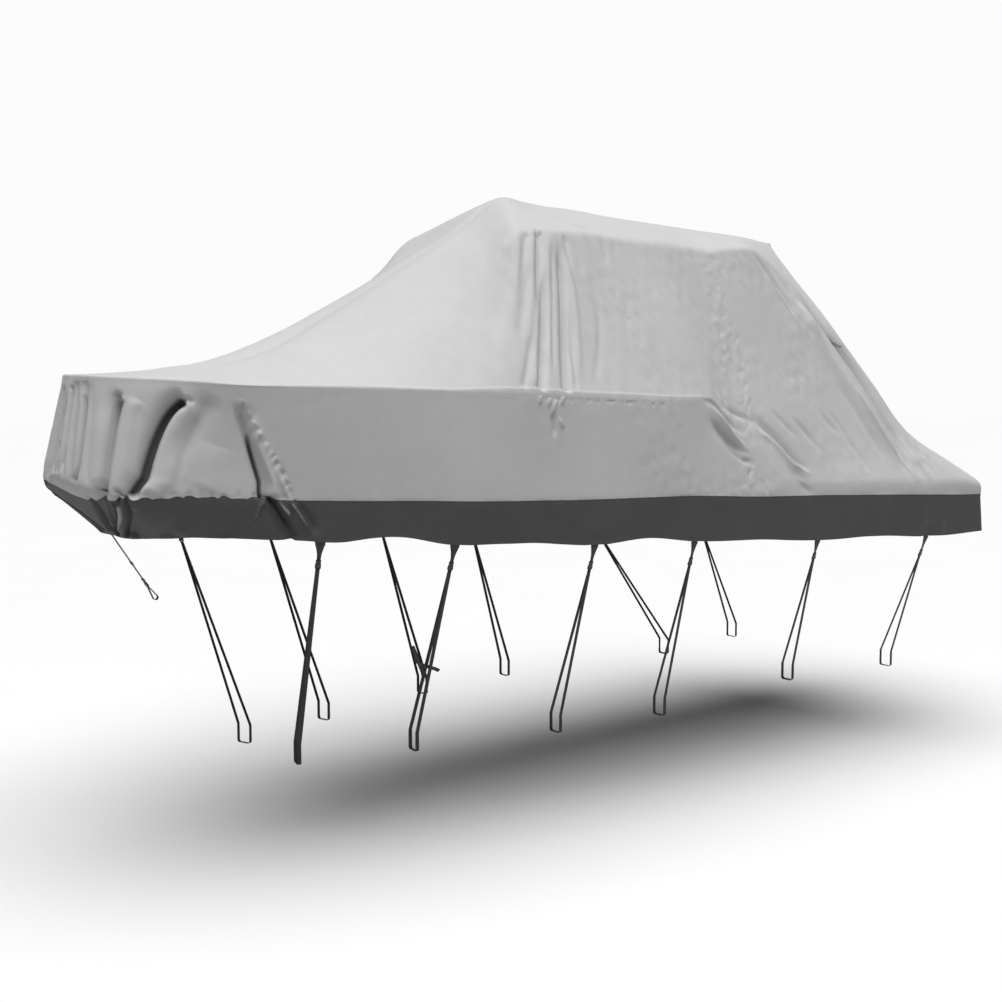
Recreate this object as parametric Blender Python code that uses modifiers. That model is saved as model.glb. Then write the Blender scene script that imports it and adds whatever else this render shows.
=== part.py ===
"""Fitted boat cover, cut for a tall flat roof behind a raked front slope.

The cover hangs as one hollow shell of light cloth panels with a dark skirt band
round its hem.  Tie straps of black webbing hang from the hem, each with a sewn
tab, a side-release buckle and a loop.  The bow points to -X, port is -Y and up
is +Z.  The origin is the hold point under the roof ridge.

Every cloth panel is a loft: a row of SECTIONS gives one cross-section, from the
crest on the centreline, over the shoulder and the rail, to the skirt and hem.
Lengths in the tables run aft from the foremost cloth of the bow, half-breadths
run out from the centreline and heights go up from the lowest hem, in metres.
"""

import bpy
import bmesh
import numpy as np
from math import cos, pi, sin

# ---------------------------------------------------------------- driving sizes
COVER_NAME = "boat_cover"
CLOTH = 0.002                # thickness of a panel
SEAM_GAP = 0.0003            # air between two pieces that touch
HOLD_AFT = 4.05              # hold point, aft of the bow
HOLD_HEIGHT = 2.438          # hold point, above the lowest hem
RAIL_SEAM = 2.07             # girth place of the seam just below the rail fold

PORT, STARBOARD = -1, 1

# Girth places: 0 crest, 1 shoulder, 2 rail, 3 lip, 4 top of the skirt, 5 hem.
CREST, SHOULDER, RAIL, LIP, SKIRT, HEM = range(6)
GIRTH_ROWS = (0, 0.5, 1, 1.25, 1.5, 1.75, 1.95, 2, RAIL_SEAM, 2.35, 2.7, 3, 4, 4.5, 5)

# One row for each cross-section.  columns: how many columns of faces the loft
# has up to the next row.  lip_up and lip_drop: how far the lip lies above the
# skirt, and 0 if it stays on the slope or 1 if it hangs plumb.
SECTION_COLUMNS = (
    "name", "columns", "crest_x", "crest_z",
    "shoulder_x", "shoulder_y", "shoulder_z", "rail_x", "rail_y", "rail_z",
    "lip_up", "lip_drop", "skirt_x", "skirt_y", "skirt_z", "hem_x", "hem_y", "hem_z",
    "crest_r", "shoulder_r", "rail_r",
)
SECTIONS = (
    ("stem", 4, 0.95, 1.365, 0.52, 0.00, 1.328, 0.170, 0.00, 1.315,
     0.10, 0.0, 0.058, 0.000, 0.757, 0.392, 0.000, 0.400, 0.30, 0.15, 0.030),
    ("bow_a", 7, 0.99, 1.372, 0.56, 0.08, 1.328, 0.195, 0.14, 1.312,
     0.10, 0.0, 0.080, 0.180, 0.722, 0.408, 0.160, 0.400, 0.30, 0.15, 0.030),
    ("bow_b", 10, 1.08, 1.392, 0.65, 0.20, 1.330, 0.296, 0.33, 1.303,
     0.10, 0.0, 0.176, 0.400, 0.668, 0.502, 0.360, 0.400, 0.30, 0.15, 0.030),
    ("bow_c", 11, 1.24, 1.415, 0.85, 0.33, 1.335, 0.500, 0.56, 1.290,
     0.10, 0.0, 0.520, 0.640, 0.645, 0.780, 0.620, 0.395, 0.30, 0.20, 0.030),
    ("bow_seam", 4, 1.45, 1.496, 1.10, 0.42, 1.350, 0.783, 0.76, 1.268,
     0.10, 0.0, 1.060, 0.860, 0.622, 1.120, 0.840, 0.386, 0.28, 0.25, 0.030),
    ("fwd_a", 3, 1.80, 1.692, 1.52, 0.48, 1.445, 1.200, 0.92, 1.250,
     0.10, 0.0, 1.420, 0.990, 0.605, 1.460, 0.955, 0.348, 0.24, 0.30, 0.025),
    ("fwd_b", 3, 2.20, 1.910, 1.95, 0.50, 1.605, 1.650, 1.03, 1.235,
     0.10, 0.0, 1.820, 1.100, 0.588, 1.860, 1.065, 0.325, 0.20, 0.30, 0.025),
    ("fwd_c", 3, 2.60, 2.120, 2.37, 0.52, 1.815, 2.000, 1.085, 1.222,
     0.10, 0.0, 2.120, 1.155, 0.573, 2.160, 1.120, 0.308, 0.16, 0.26, 0.025),
    ("fwd_d", 5, 2.96, 2.300, 2.705, 0.56, 2.035, 2.280, 1.115, 1.212,
     0.10, 0.0, 2.380, 1.185, 0.560, 2.420, 1.150, 0.290, 0.10, 0.16, 0.025),
    ("front_corner", 9, 3.326, 2.510, 2.955, 0.60, 2.225, 2.530, 1.13, 1.202,
     0.10, 0.0, 2.620, 1.205, 0.550, 2.660, 1.170, 0.273, 0.04, 0.06, 0.025),
    ("roof_a", 4, 3.47, 2.493, 3.18, 0.605, 2.232, 2.820, 1.145, 1.190,
     0.10, 0.0, 2.920, 1.225, 0.538, 2.960, 1.190, 0.250, 0.05, 0.04, 0.025),
    ("mid_seam", 3, 3.64, 2.476, 3.464, 0.60, 2.236, 3.770, 1.17, 1.140,
     0.10, 0.0, 3.866, 1.250, 0.508, 3.900, 1.220, 0.203, 0.05, 0.04, 0.030),
    ("roof_b", 4, 4.20, 2.441, 4.08, 0.60, 2.214, 4.150, 1.145, 1.128,
     0.10, 0.0, 4.200, 1.250, 0.488, 4.240, 1.220, 0.175, 0.05, 0.05, 0.040),
    ("aft_seam", 4, 4.80, 2.409, 4.659, 0.60, 2.185, 4.520, 1.17, 0.820,
     0.10, 0.2, 4.500, 1.250, 0.466, 4.560, 1.220, 0.150, 0.05, 0.05, 0.100),
    ("aft_a", 4, 5.18, 2.388, 4.90, 0.60, 2.205, 5.100, 1.20, 0.620,
     0.10, 0.5, 5.300, 1.250, 0.430, 5.340, 1.220, 0.100, 0.05, 0.05, 0.150),
    ("rear_corner", 5, 5.60, 2.366, 5.117, 0.60, 2.214, 6.150, 1.12, 0.700,
     0.10, 0.8, 6.450, 1.250, 0.368, 6.480, 1.210, 0.040, 0.05, 0.05, 0.200),
    ("hip_a", 4, 5.86, 2.356, 5.600, 0.55, 2.035, 6.380, 1.04, 0.820,
     0.10, 1.0, 6.960, 1.248, 0.338, 7.000, 1.220, 0.022, 0.05, 0.07, 0.220),
    ("hip_b", 4, 6.00, 2.346, 6.020, 0.71, 1.600, 6.550, 0.98, 0.850,
     0.08, 1.0, 7.220, 1.238, 0.325, 7.300, 1.215, 0.020, 0.05, 0.20, 0.220),
    ("stern_corner", 3, 6.03, 2.343, 6.200, 0.52, 1.600, 6.740, 0.82, 0.800,
     0.09, 1.0, 7.330, 1.140, 0.318, 7.390, 1.130, 0.020, 0.05, 0.20, 0.220),
    ("transom_a", 2, 6.06, 2.340, 6.360, 0.28, 1.590, 6.900, 0.45, 0.760,
     0.11, 1.0, 7.380, 0.600, 0.312, 7.440, 0.600, 0.020, 0.05, 0.20, 0.220),
    ("transom", 0, 6.08, 2.337, 6.420, 0.00, 1.585, 6.950, 0.00, 0.740,
     0.11, 1.0, 7.390, 0.000, 0.310, 7.450, 0.000, 0.020, 0.05, 0.20, 0.220),
)
LIP_RADIUS = 0.05
SKIRT_RADIUS = 0.04
MOST_FALL = 0.8              # steepest slope that the soft crest is rounded for
MOST_CREST = 0.6             # widest soft crest, as a part of the shoulder's breadth
MOST_ROUND = 0.49            # longest rounding, as a part of the straight beside it

# Between two ties the hem is drawn up in a low arch: from x to x, and its rise.
HEM_ARCHES = (
    (0.40, 1.24, 0.012),
    (1.24, 2.06, 0.048),
    (2.06, 3.07, 0.010),
    (3.07, 3.95, 0.030),
    (3.95, 5.23, 0.012),
    (5.23, 6.56, 0.018),
)

# One row for each main fold.  Its line runs through three places, each a section
# number and a girth place.  out: how far its crown stands out, or in if below 0.
# lean: how much steeper its aft flank is than its forward one, up to 1.
# head, tail: the parts of its length over which it grows and dies.
FOLD_COLUMNS = (
    "name", "side", "section_1", "girth_1", "section_2", "girth_2", "section_3", "girth_3",
    "out", "half_width", "lean", "head", "tail",
)
FOLDS = (
    ("stem_crease_a", PORT, 0.50, 2.04, 0.82, 2.70, 0.90, 4.10, -0.024, 0.030, 0.0, 0.10, 0.10),
    ("stem_crease_b", STARBOARD, 0.55, 2.10, 0.70, 2.80, 0.85, 4.10, -0.020, 0.035, 0.0, 0.1, 0.1),
    ("stem_crease_c", PORT, 0.92, 2.03, 1.20, 2.46, 1.10, 4.12, -0.020, 0.026, 0.3, 0.10, 0.10),
    ("bow_pocket", PORT, 2.13, 2.19, 2.02, 2.66, 1.94, 4.06, -0.046, 0.036, 0.2, 0.08, 0.02),
    ("bow_pocket_lip", PORT, 2.44, 2.20, 2.34, 2.66, 2.26, 3.90, 0.012, 0.050, 0.0, 0.20, 0.10),
    ("bow_deep_fold", PORT, 3.21, 2.21, 2.68, 2.73, 2.46, 4.04, -0.085, 0.042, 0.55, 0.08, 0.02),
    ("bow_deep_lip", PORT, 3.42, 2.24, 2.92, 2.70, 2.64, 3.90, 0.022, 0.055, 0.0, 0.15, 0.10),
    ("bow_shallow_fold", PORT, 3.66, 2.11, 3.18, 2.50, 2.82, 2.96, -0.026, 0.060, 0.0, 0.20, 0.45),
    ("bow_seam_trough", PORT, 3.92, 2.18, 3.80, 2.70, 3.71, 4.02, -0.040, 0.036, -0.3, 0.30, 0.02),
    ("bow_seam_ridge", PORT, 4.02, 2.30, 3.95, 2.75, 3.86, 3.85, 0.016, 0.032, 0.0, 0.30, 0.10),
    ("skirt_pleat_a", PORT, 1.90, 3.90, 1.50, 4.42, 0.50, 4.96, -0.040, 0.036, 0.2, 0.10, 0.05),
    ("skirt_pleat_b", PORT, 2.26, 4.20, 1.92, 4.60, 1.42, 4.96, -0.024, 0.030, 0.0, 0.20, 0.05),
    ("skirt_pleat_c", PORT, 3.78, 3.74, 3.82, 4.42, 3.97, 5.00, -0.042, 0.034, 0.2, 0.10, 0.05),
    ("bow_pocket_far", STARBOARD, 1.80, 2.20, 1.75, 2.80, 1.60, 4.10, -0.040, 0.040, 0.3, 0.10, 0.05),
    ("bow_fold_far", STARBOARD, 2.90, 2.15, 2.60, 2.70, 2.30, 4.20, -0.064, 0.045, 0.5, 0.10, 0.05),
    ("bow_seam_trough_far", STARBOARD, 3.90, 2.20, 3.70, 2.70, 3.60, 4.6, -0.038, 0.040, 0.0, 0.2, 0.1),
    ("roof_pleat_a", PORT, 9.22, 1.02, 9.06, 1.24, 8.86, 1.70, -0.014, 0.026, 0.0, 0.03, 0.60),
    ("roof_pleat_b", PORT, 9.72, 1.00, 9.62, 1.22, 9.52, 1.60, -0.030, 0.024, 0.0, 0.02, 0.50),
    ("roof_pleat_c", PORT, 9.80, 1.24, 9.72, 1.56, 9.52, 1.99, -0.034, 0.030, 0.0, 0.35, 0.02),
    ("roof_pleat_d", PORT, 10.32, 1.05, 10.16, 1.56, 10.08, 1.99, -0.036, 0.028, 0.0, 0.20, 0.02),
    ("roof_pleat_e", STARBOARD, 9.30, 1.03, 9.25, 1.50, 9.15, 1.97, -0.032, 0.035, 0.0, 0.15, 0.05),
    ("roof_pleat_f", STARBOARD, 9.95, 1.02, 9.90, 1.40, 9.80, 1.90, -0.026, 0.035, 0.0, 0.10, 0.30),
    ("rail_end_crease", PORT, 11.86, 2.18, 12.42, 2.34, 13.12, 2.22, -0.036, 0.040, 0.4, 0.15, 0.25),
    ("rail_end_crease_far", STARBOARD, 12.0, 2.16, 12.6, 2.24, 13.2, 2.20, -0.032, 0.045, 0.4, 0.15, 0.2),
    ("quarter_trough", PORT, 13.18, 1.84, 13.70, 1.90, 14.08, 2.10, -0.036, 0.040, 0.0, 0.15, 0.25),
    ("quarter_ridge", PORT, 13.16, 1.93, 13.76, 1.97, 13.98, 2.58, 0.024, 0.035, 0.0, 0.20, 0.30),
    ("quarter_trough_far", STARBOARD, 13.4, 1.75, 13.9, 1.90, 14.6, 2.30, -0.030, 0.060, 0.0, 0.2, 0.2),
    ("hip_trough", PORT, 16.25, 0.98, 16.28, 1.42, 15.40, 2.48, -0.055, 0.065, 0.0, 0.10, 0.30),
    ("hip_ridge", PORT, 15.45, 1.16, 15.28, 1.62, 14.92, 2.60, 0.030, 0.070, 0.0, 0.20, 0.20),
    ("hip_trough_far", STARBOARD, 16.10, 1.05, 16.10, 1.50, 15.50, 2.40, -0.050, 0.070, 0.0, 0.1, 0.3),
    ("roof_corner_crease", PORT, 15.14, 1.00, 15.16, 1.14, 14.94, 1.40, -0.020, 0.035, 0.3, 0.10, 0.40),
    ("stern_slope_trough", STARBOARD, 18.60, 1.10, 18.70, 1.60, 18.90, 2.30, -0.036, 0.10, 0.0, 0.2, 0.3),
    ("stern_slope_trough_b", PORT, 18.30, 1.05, 18.50, 1.55, 18.60, 2.40, -0.034, 0.09, 0.0, 0.2, 0.3),
)
FOLD_STEPS = 24              # straight lengths in a fold's line

# One row for each pair of side ties, the same on both sides.  hem_x: where its
# tab is sewn.  foot_x, foot_y: middle of the square foot of its loop.
TIE_COLUMNS = ("name", "hem_x", "foot_x", "foot_y")
TIES = (
    ("tie_1", 1.24, 1.42, 0.32),
    ("tie_2", 2.06, 2.15, 0.52),
    ("tie_3", 3.07, 3.15, 0.74),
    ("tie_4", 3.95, 4.02, 0.84),
    ("tie_5", 5.23, 5.60, 0.66),
    ("tie_6", 6.56, 6.62, 0.82),
)
FOOT_TOP = -0.930            # heights of the foot's top and bottom
FOOT_BOTTOM = -1.050
FOOT_WIDTH = 0.100
FOOT_CORNER = 0.014          # radius of the foot's bottom corners

BOW_EYE_X, BOW_EYE_Z = 0.660, 0.010
BOW_EYE_WIDTH = 0.030
BOW_SLIDER_DOWN = 0.200      # from the hem to the bow tie's slider and its buckle
BOW_SLIDER_LENGTH = 0.030
BOW_BUCKLE_DOWN = 0.330

# The loose end of tie_2 on the port side: it lies on the inner leg, stands off it and
# folds over.  Each place is measured from where it leaves the leg: across the webbing,
# up along the leg, and out from the leg's middle.
TAIL_TIE = "tie_2_port"
TAIL_FROM = 0.65             # where it leaves the leg, as a part of the leg's length
TAIL_ROUTE = (
    (0.000, -0.040), (0.000, 0.000), (-0.022, 0.050), (-0.055, 0.110), (-0.092, 0.180),
    (-0.128, 0.245), (-0.140, 0.262), (-0.132, 0.250), (-0.104, 0.190), (-0.084, 0.146),
    (-0.045, 0.118), (0.010, 0.095), (0.050, 0.078), (0.080, 0.060),
)
TAIL_OUT = (
    0.0019, 0.0019, 0.006, 0.011, 0.016, 0.020, 0.027, 0.034, 0.035, 0.036, 0.036, 0.035, 0.034, 0.033,
)

WEBBING_WIDTH = 0.025
WEBBING = 0.0016             # thickness
TAB_WIDTH = 0.060
TAB_SEWN = 0.022             # length that lies inside the hem
TAB_LEAD = 0.016             # straight length below the hem, before the tab turns
TAB_GAP = 0.0009             # between a tab and the hem that it is sewn into
BOW_TAB_GAP = 0.0013         # the same at the stem, where the hem is a tight curve
TAB_TAPER = 0.065            # length from the hem to the webbing's full taper
BUCKLE_DOWN = 0.100          # from the hem to the buckle
BUCKLE_LENGTH = 0.062
BUCKLE_WIDTH = 0.036
BUCKLE_THICKNESS = 0.010
BUCKLE_EDGE = 0.0015         # bevel
LEG_PITCH = 0.0026           # between the two legs at the buckle
LEG_STEPS = 6                # straight lengths in a leg
MERGE = 0.00005              # points closer than this are one

# Finishes: base colour, roughness
LIGHT_CLOTH = ((0.60, 0.60, 0.60), 0.80)
DARK_CLOTH = ((0.080, 0.080, 0.083), 0.82)
WEBBING_BLACK = ((0.012, 0.012, 0.013), 0.70)
BUCKLE_BLACK = ((0.015, 0.015, 0.016), 0.45)


# ---------------------------------------------------------------- tables
def column(name):
    """One named column of SECTIONS as numbers."""
    place = SECTION_COLUMNS.index(name)
    return np.array([row[place] for row in SECTIONS], float)


def section_number(name):
    return [row[0] for row in SECTIONS].index(name)


def monotone(values, at):
    """Read a column between its rows, on a smooth curve that never overshoots."""
    step = np.diff(values)
    slope = np.zeros(len(values))
    slope[0], slope[-1] = step[0], step[-1]
    same_way = step[:-1] * step[1:] > 0
    total = np.where(same_way, step[:-1] + step[1:], 1.0)
    slope[1:-1] = np.where(same_way, 2.0 * step[:-1] * step[1:] / total, 0.0)
    row = np.clip(np.floor(at).astype(int), 0, len(values) - 2)
    t = at - row
    return (
        (1 + 2 * t) * (1 - t) ** 2 * values[row]
        + t * (1 - t) ** 2 * slope[row]
        + t * t * (3 - 2 * t) * values[row + 1]
        + t * t * (t - 1) * slope[row + 1]
    )


# ---------------------------------------------------------------- the shell
def guides(section):
    """The six guide points of a section, and the rounding radius at each."""
    value = {name: monotone(column(name), section) for name in SECTION_COLUMNS[2:]}
    zero = np.zeros(len(section))

    def point(name):
        return np.stack([value[name + "_x"], value[name + "_y"], value[name + "_z"]], -1)

    crest = np.stack([value["crest_x"], zero, value["crest_z"]], -1)
    shoulder, rail, skirt, hem = (point(n) for n in ("shoulder", "rail", "skirt", "hem"))
    slope = rail - skirt
    slope /= np.linalg.norm(slope, axis=1)[:, None]
    drop = value["lip_drop"][:, None]
    up = np.array([0.0, 0.0, 1.0])
    lip = skirt + value["lip_up"][:, None] * ((1 - drop) * slope + drop * up)
    places = np.stack([crest, shoulder, rail, lip, skirt, hem], 1)
    radii = np.stack(
        [zero, value["shoulder_r"], value["rail_r"], zero + LIP_RADIUS, zero + SKIRT_RADIUS, zero], 1
    )
    return places, radii, value["crest_r"]


def toward(a, b, length):
    """The point at a length from a on the way to b."""
    way = b - a
    return a + way / np.maximum(np.linalg.norm(way, axis=1), 1e-9)[:, None] * length[:, None]


def half_shell(section, girth):
    """Points of the starboard half, before its folds."""
    section, girth = np.broadcast_arrays(np.atleast_1d(section), np.atleast_1d(girth))
    places, radii, crest_radius = guides(section.astype(float))
    every = np.arange(len(girth))
    start = np.clip(np.floor(girth).astype(int), 0, 4)
    part = girth - start
    first, last = places[every, start], places[every, start + 1]
    length = np.linalg.norm(last - first, axis=1)
    points = first + (last - first) * part[:, None]

    # Each guide between the crest and the hem is rounded by a parabola.
    for after in (0, 1):
        at = np.clip(start + after, 1, 4)
        corner, before, beyond = (places[every, at + k] for k in (0, -1, 1))
        back = np.minimum(radii[every, at], MOST_ROUND * np.linalg.norm(corner - before, axis=1))
        ahead = np.minimum(radii[every, at], MOST_ROUND * np.linalg.norm(beyond - corner, axis=1))
        away = (1 - part) * length if after else part * length
        reach = back if after else ahead
        t = 0.5 + (-0.5 if after else 0.5) * away / np.maximum(reach, 1e-9)
        t = t[:, None]
        enter, leave = toward(corner, before, back), toward(corner, beyond, ahead)
        rounded = (1 - t) ** 2 * enter + 2 * t * (1 - t) * corner + t * t * leave
        near = (start + after == at) & (away < reach)
        points = np.where(near[:, None], rounded, points)

    # The crest is a ridge with a soft top.
    breadth = np.maximum(places[:, SHOULDER, 1], 1e-3)
    fall = np.minimum((places[:, CREST, 2] - places[:, SHOULDER, 2]) / breadth, MOST_FALL)
    soft = np.minimum(crest_radius, MOST_CREST * breadth)
    on_top = (start == CREST) & (points[:, 1] < soft) & (breadth > 0.02)
    points[:, 2] -= np.where(on_top, fall * (soft - points[:, 1]) ** 2 / (2 * soft), 0.0)

    # The skirt is drawn up with the hem between the ties.
    below = np.clip(girth - SKIRT, 0, 1)
    for start_x, end_x, rise in HEM_ARCHES:
        along_arch = np.clip((points[:, 0] - start_x) / (end_x - start_x), 0, 1)
        points[:, 2] += below * rise * np.sin(pi * along_arch) ** 2
    return points


def on_side(points, side):
    return points * np.array([1.0, float(side), 1.0])


LAST_SECTION = len(SECTIONS) - 1


def normals(section, girth, side):
    """Outward normals of the shell before its folds."""
    step = 0.01
    behind, ahead = np.maximum(section - step, 0), np.minimum(section + step, LAST_SECTION)
    above, below = np.maximum(girth - step, 0), np.minimum(girth + step, HEM)
    aft = half_shell(ahead, girth) - half_shell(behind, girth)
    down = half_shell(section, below) - half_shell(section, above)
    out = np.cross(aft, down)
    # On the centreline the shell runs straight across.
    out[(np.abs(half_shell(section, girth)[:, 1]) < 1e-9)] *= np.array([1.0, 0.0, 1.0])
    out /= np.maximum(np.linalg.norm(out, axis=1), 1e-12)[:, None]
    return on_side(out, side)


def fold_line(fold):
    """A fold's line as a row of points on the shell before its folds."""
    t = np.linspace(0, 1, FOLD_STEPS + 1)
    weights = ((1 - t) * (1 - 2 * t), 4 * t * (1 - t), t * (2 * t - 1))
    section = sum(w * fold["section_%d" % (k + 1)] for k, w in enumerate(weights))
    girth = sum(w * fold["girth_%d" % (k + 1)] for k, w in enumerate(weights))
    return on_side(half_shell(section, girth), fold["side"])


def beside_line(points, line):
    """Way from the nearest point of a line, that part's direction, and how far along it lies."""
    run = np.diff(line, axis=0)
    away = points[:, None, :] - line[None, :-1, :]
    part = np.clip((away * run).sum(2) / (run**2).sum(1), 0, 1)
    away -= part[:, :, None] * run
    nearest = np.linalg.norm(away, axis=2).argmin(axis=1)
    every = np.arange(len(points))
    along = (nearest + part[every, nearest]) / len(run)
    return away[every, nearest], run[nearest], along


def smooth_step(value):
    value = np.clip(value, 0, 1)
    return value * value * (3 - 2 * value)


def fold_lift(points, out, fold):
    """How far a fold lifts each point of the shell along its outward normal."""
    line = fold_line(fold)
    reach = 3 * fold["half_width"]
    low, high = line.min(axis=0) - reach, line.max(axis=0) + reach
    near = ((points > low) & (points < high)).all(axis=1)
    lift = np.zeros(len(points))
    if near.any():
        away, run, along = beside_line(points[near], line)
        aft = np.cross(run, out[near])
        aft *= np.sign(aft[:, :1] + 1e-9)
        flank = 1 - fold["lean"] * np.sign((away * aft).sum(axis=1))
        distance = np.linalg.norm(away, axis=1) / (fold["half_width"] * flank)
        ease = smooth_step(along / fold["head"]) * smooth_step((1 - along) / fold["tail"])
        lift[near] = fold["out"] * ease * np.exp(-(distance**2))
    return lift


def shell(section, girth, side):
    """Outer points with their folds, and inner points one cloth thickness in."""
    flat = on_side(half_shell(section, girth), side)
    out = normals(section, girth, side)
    lift = np.zeros(len(flat))
    for row in FOLDS:
        fold = dict(zip(FOLD_COLUMNS, row))
        if fold["side"] == side:
            lift += fold_lift(flat, out, fold)
    outer = flat + out * lift[:, None]
    return outer, outer - out * CLOTH


# ---------------------------------------------------------------- solids
def unit(vector):
    return vector / np.linalg.norm(vector)


def to_part(points):
    return np.asarray(points) - np.array([HOLD_AFT, 0.0, HOLD_HEIGHT])


def new_object(name, mesh, material, collection):
    mesh.materials.append(material)
    thing = bpy.data.objects.new(name, mesh)
    collection.objects.link(thing)
    return thing


def closed_object(name, mesh, material, collection):
    """Turn a closed bmesh into an object whose faces point out."""
    mesh.normal_update()
    bmesh.ops.recalc_face_normals(mesh, faces=mesh.faces)
    if mesh.calc_volume(signed=True) < 0:
        bmesh.ops.reverse_faces(mesh, faces=mesh.faces)
    data = bpy.data.meshes.new(name)
    mesh.to_mesh(data)
    mesh.free()
    return new_object(name, data, material, collection)


def section_places(first, last):
    """Section places of the loft's columns, from one named section to another."""
    places = []
    for row in range(section_number(first), section_number(last)):
        count = SECTIONS[row][1]
        places += [row + k / count for k in range(count)]
    return np.array(places + [section_number(last)], float)


def retreat(grid, axis, end):
    """Move one edge of a grid of points back by half a seam gap."""
    edge = [slice(None)] * 3
    inside = [slice(None)] * 3
    edge[axis], inside[axis] = end, end + (1 if end == 0 else -1)
    way = grid[tuple(inside)] - grid[tuple(edge)]
    length = np.linalg.norm(way, axis=-1, keepdims=True)
    grid[tuple(edge)] += way / np.maximum(length, 1e-9) * (SEAM_GAP / 2)


def cloth_grid(first, last, top, bottom, side):
    """Outer and inner points of one side of a panel, as two grids."""
    sections = section_places(first, last)
    girths = np.array([g for g in GIRTH_ROWS if top <= g <= bottom], float)
    s, g = np.meshgrid(sections, girths, indexing="ij")
    grids = [points.reshape(s.shape + (3,)) for points in shell(s.ravel(), g.ravel(), side)]
    for grid in grids:
        if first != "stem":
            retreat(grid, 0, 0)
        if last != "transom":
            retreat(grid, 0, -1)
        if top > CREST:
            retreat(grid, 1, 0)
        if bottom < HEM:
            retreat(grid, 1, -1)
    return grids


def add_skin(mesh, grid, flip):
    """Triangles over a grid of points, each cell split along its shorter diagonal."""
    rows, cols = grid.shape[:2]
    verts = [[mesh.verts.new(to_part(grid[i, j])) for j in range(cols)] for i in range(rows)]
    on_centre = np.abs(grid[:, :, 1]) < 1e-7
    for i in range(rows - 1):
        for j in range(cols - 1):
            a, b, c, d = verts[i][j], verts[i + 1][j], verts[i + 1][j + 1], verts[i][j + 1]
            across = np.linalg.norm(grid[i, j] - grid[i + 1, j + 1])
            other = np.linalg.norm(grid[i + 1, j] - grid[i, j + 1])
            # A cell in a corner of the centreline plane is split from that corner,
            # so that no face lies in the plane.
            at_a, at_b, at_c, at_d = (
                on_centre[i, j], on_centre[i + 1, j], on_centre[i + 1, j + 1], on_centre[i, j + 1]
            )
            if at_a and at_b and at_d:
                across = 0.0
            elif at_a and at_b and at_c:
                other = 0.0
            if across <= other:
                corners = ((a, b, c), (a, c, d))
            else:
                corners = ((a, b, d), (b, c, d))
            for face in corners:
                mesh.faces.new(face[::-1] if flip else face)


def add_rims(mesh, outer, inner, edges, flip):
    """Close a panel's open edges between its outer and its inner skin."""
    for axis, end in edges:
        a = outer[end] if axis == 0 else outer[:, end]
        b = inner[end] if axis == 0 else inner[:, end]
        turn = flip != (axis == 1) != (end == -1)
        top = [mesh.verts.new(to_part(p)) for p in a]
        low = [mesh.verts.new(to_part(p)) for p in b]
        for k in range(len(top) - 1):
            for face in ((top[k], low[k], low[k + 1]), (top[k], low[k + 1], top[k + 1])):
                mesh.faces.new(face[::-1] if turn else face)


def cloth_panel(name, first, last, top, bottom, sides, material, collection):
    """One cut panel of cloth: its skins on one side or both, with closed edges."""
    mesh = bmesh.new()
    edges = []
    if first != "stem":
        edges.append((0, 0))
    if last != "transom":
        edges.append((0, -1))
    if top > CREST:
        edges.append((1, 0))
    edges.append((1, -1))
    for side in sides:
        outer, inner = cloth_grid(first, last, top, bottom, side)
        flip = side == PORT
        add_skin(mesh, outer, flip)
        add_skin(mesh, inner, not flip)
        add_rims(mesh, outer, inner, edges, flip)
    bmesh.ops.remove_doubles(mesh, verts=mesh.verts, dist=MERGE)
    return closed_object(name, mesh, material, collection)


def ribbon(name, path, width_ways, widths, material, collection):
    """Webbing: a flat section lofted along a path, mitred at its bends.

    width_ways holds the way across the webbing at each point of the path.
    """
    path = np.asarray(path, float)
    mesh = bmesh.new()
    rings = []
    for k, place in enumerate(path):
        before = unit(place - path[k - 1]) if k > 0 else unit(path[1] - place)
        after = unit(path[k + 1] - place) if k < len(path) - 1 else before
        along = unit(before + after)
        across = unit(width_ways[k] - along * np.dot(along, width_ways[k]))
        thick = np.cross(along, across) / max(float(np.dot(along, after)), 0.5)
        w, t = across * widths[k] / 2, thick * WEBBING / 2
        corners = (place + w + t, place - w + t, place - w - t, place + w - t)
        rings.append([mesh.verts.new(to_part(c)) for c in corners])
    for ring, following in zip(rings, rings[1:]):
        for k in range(4):
            n = (k + 1) % 4
            mesh.faces.new((ring[k], ring[n], following[n], following[k]))
    mesh.faces.new(rings[0][::-1])
    mesh.faces.new(rings[-1])
    return closed_object(name, mesh, material, collection)


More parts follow.
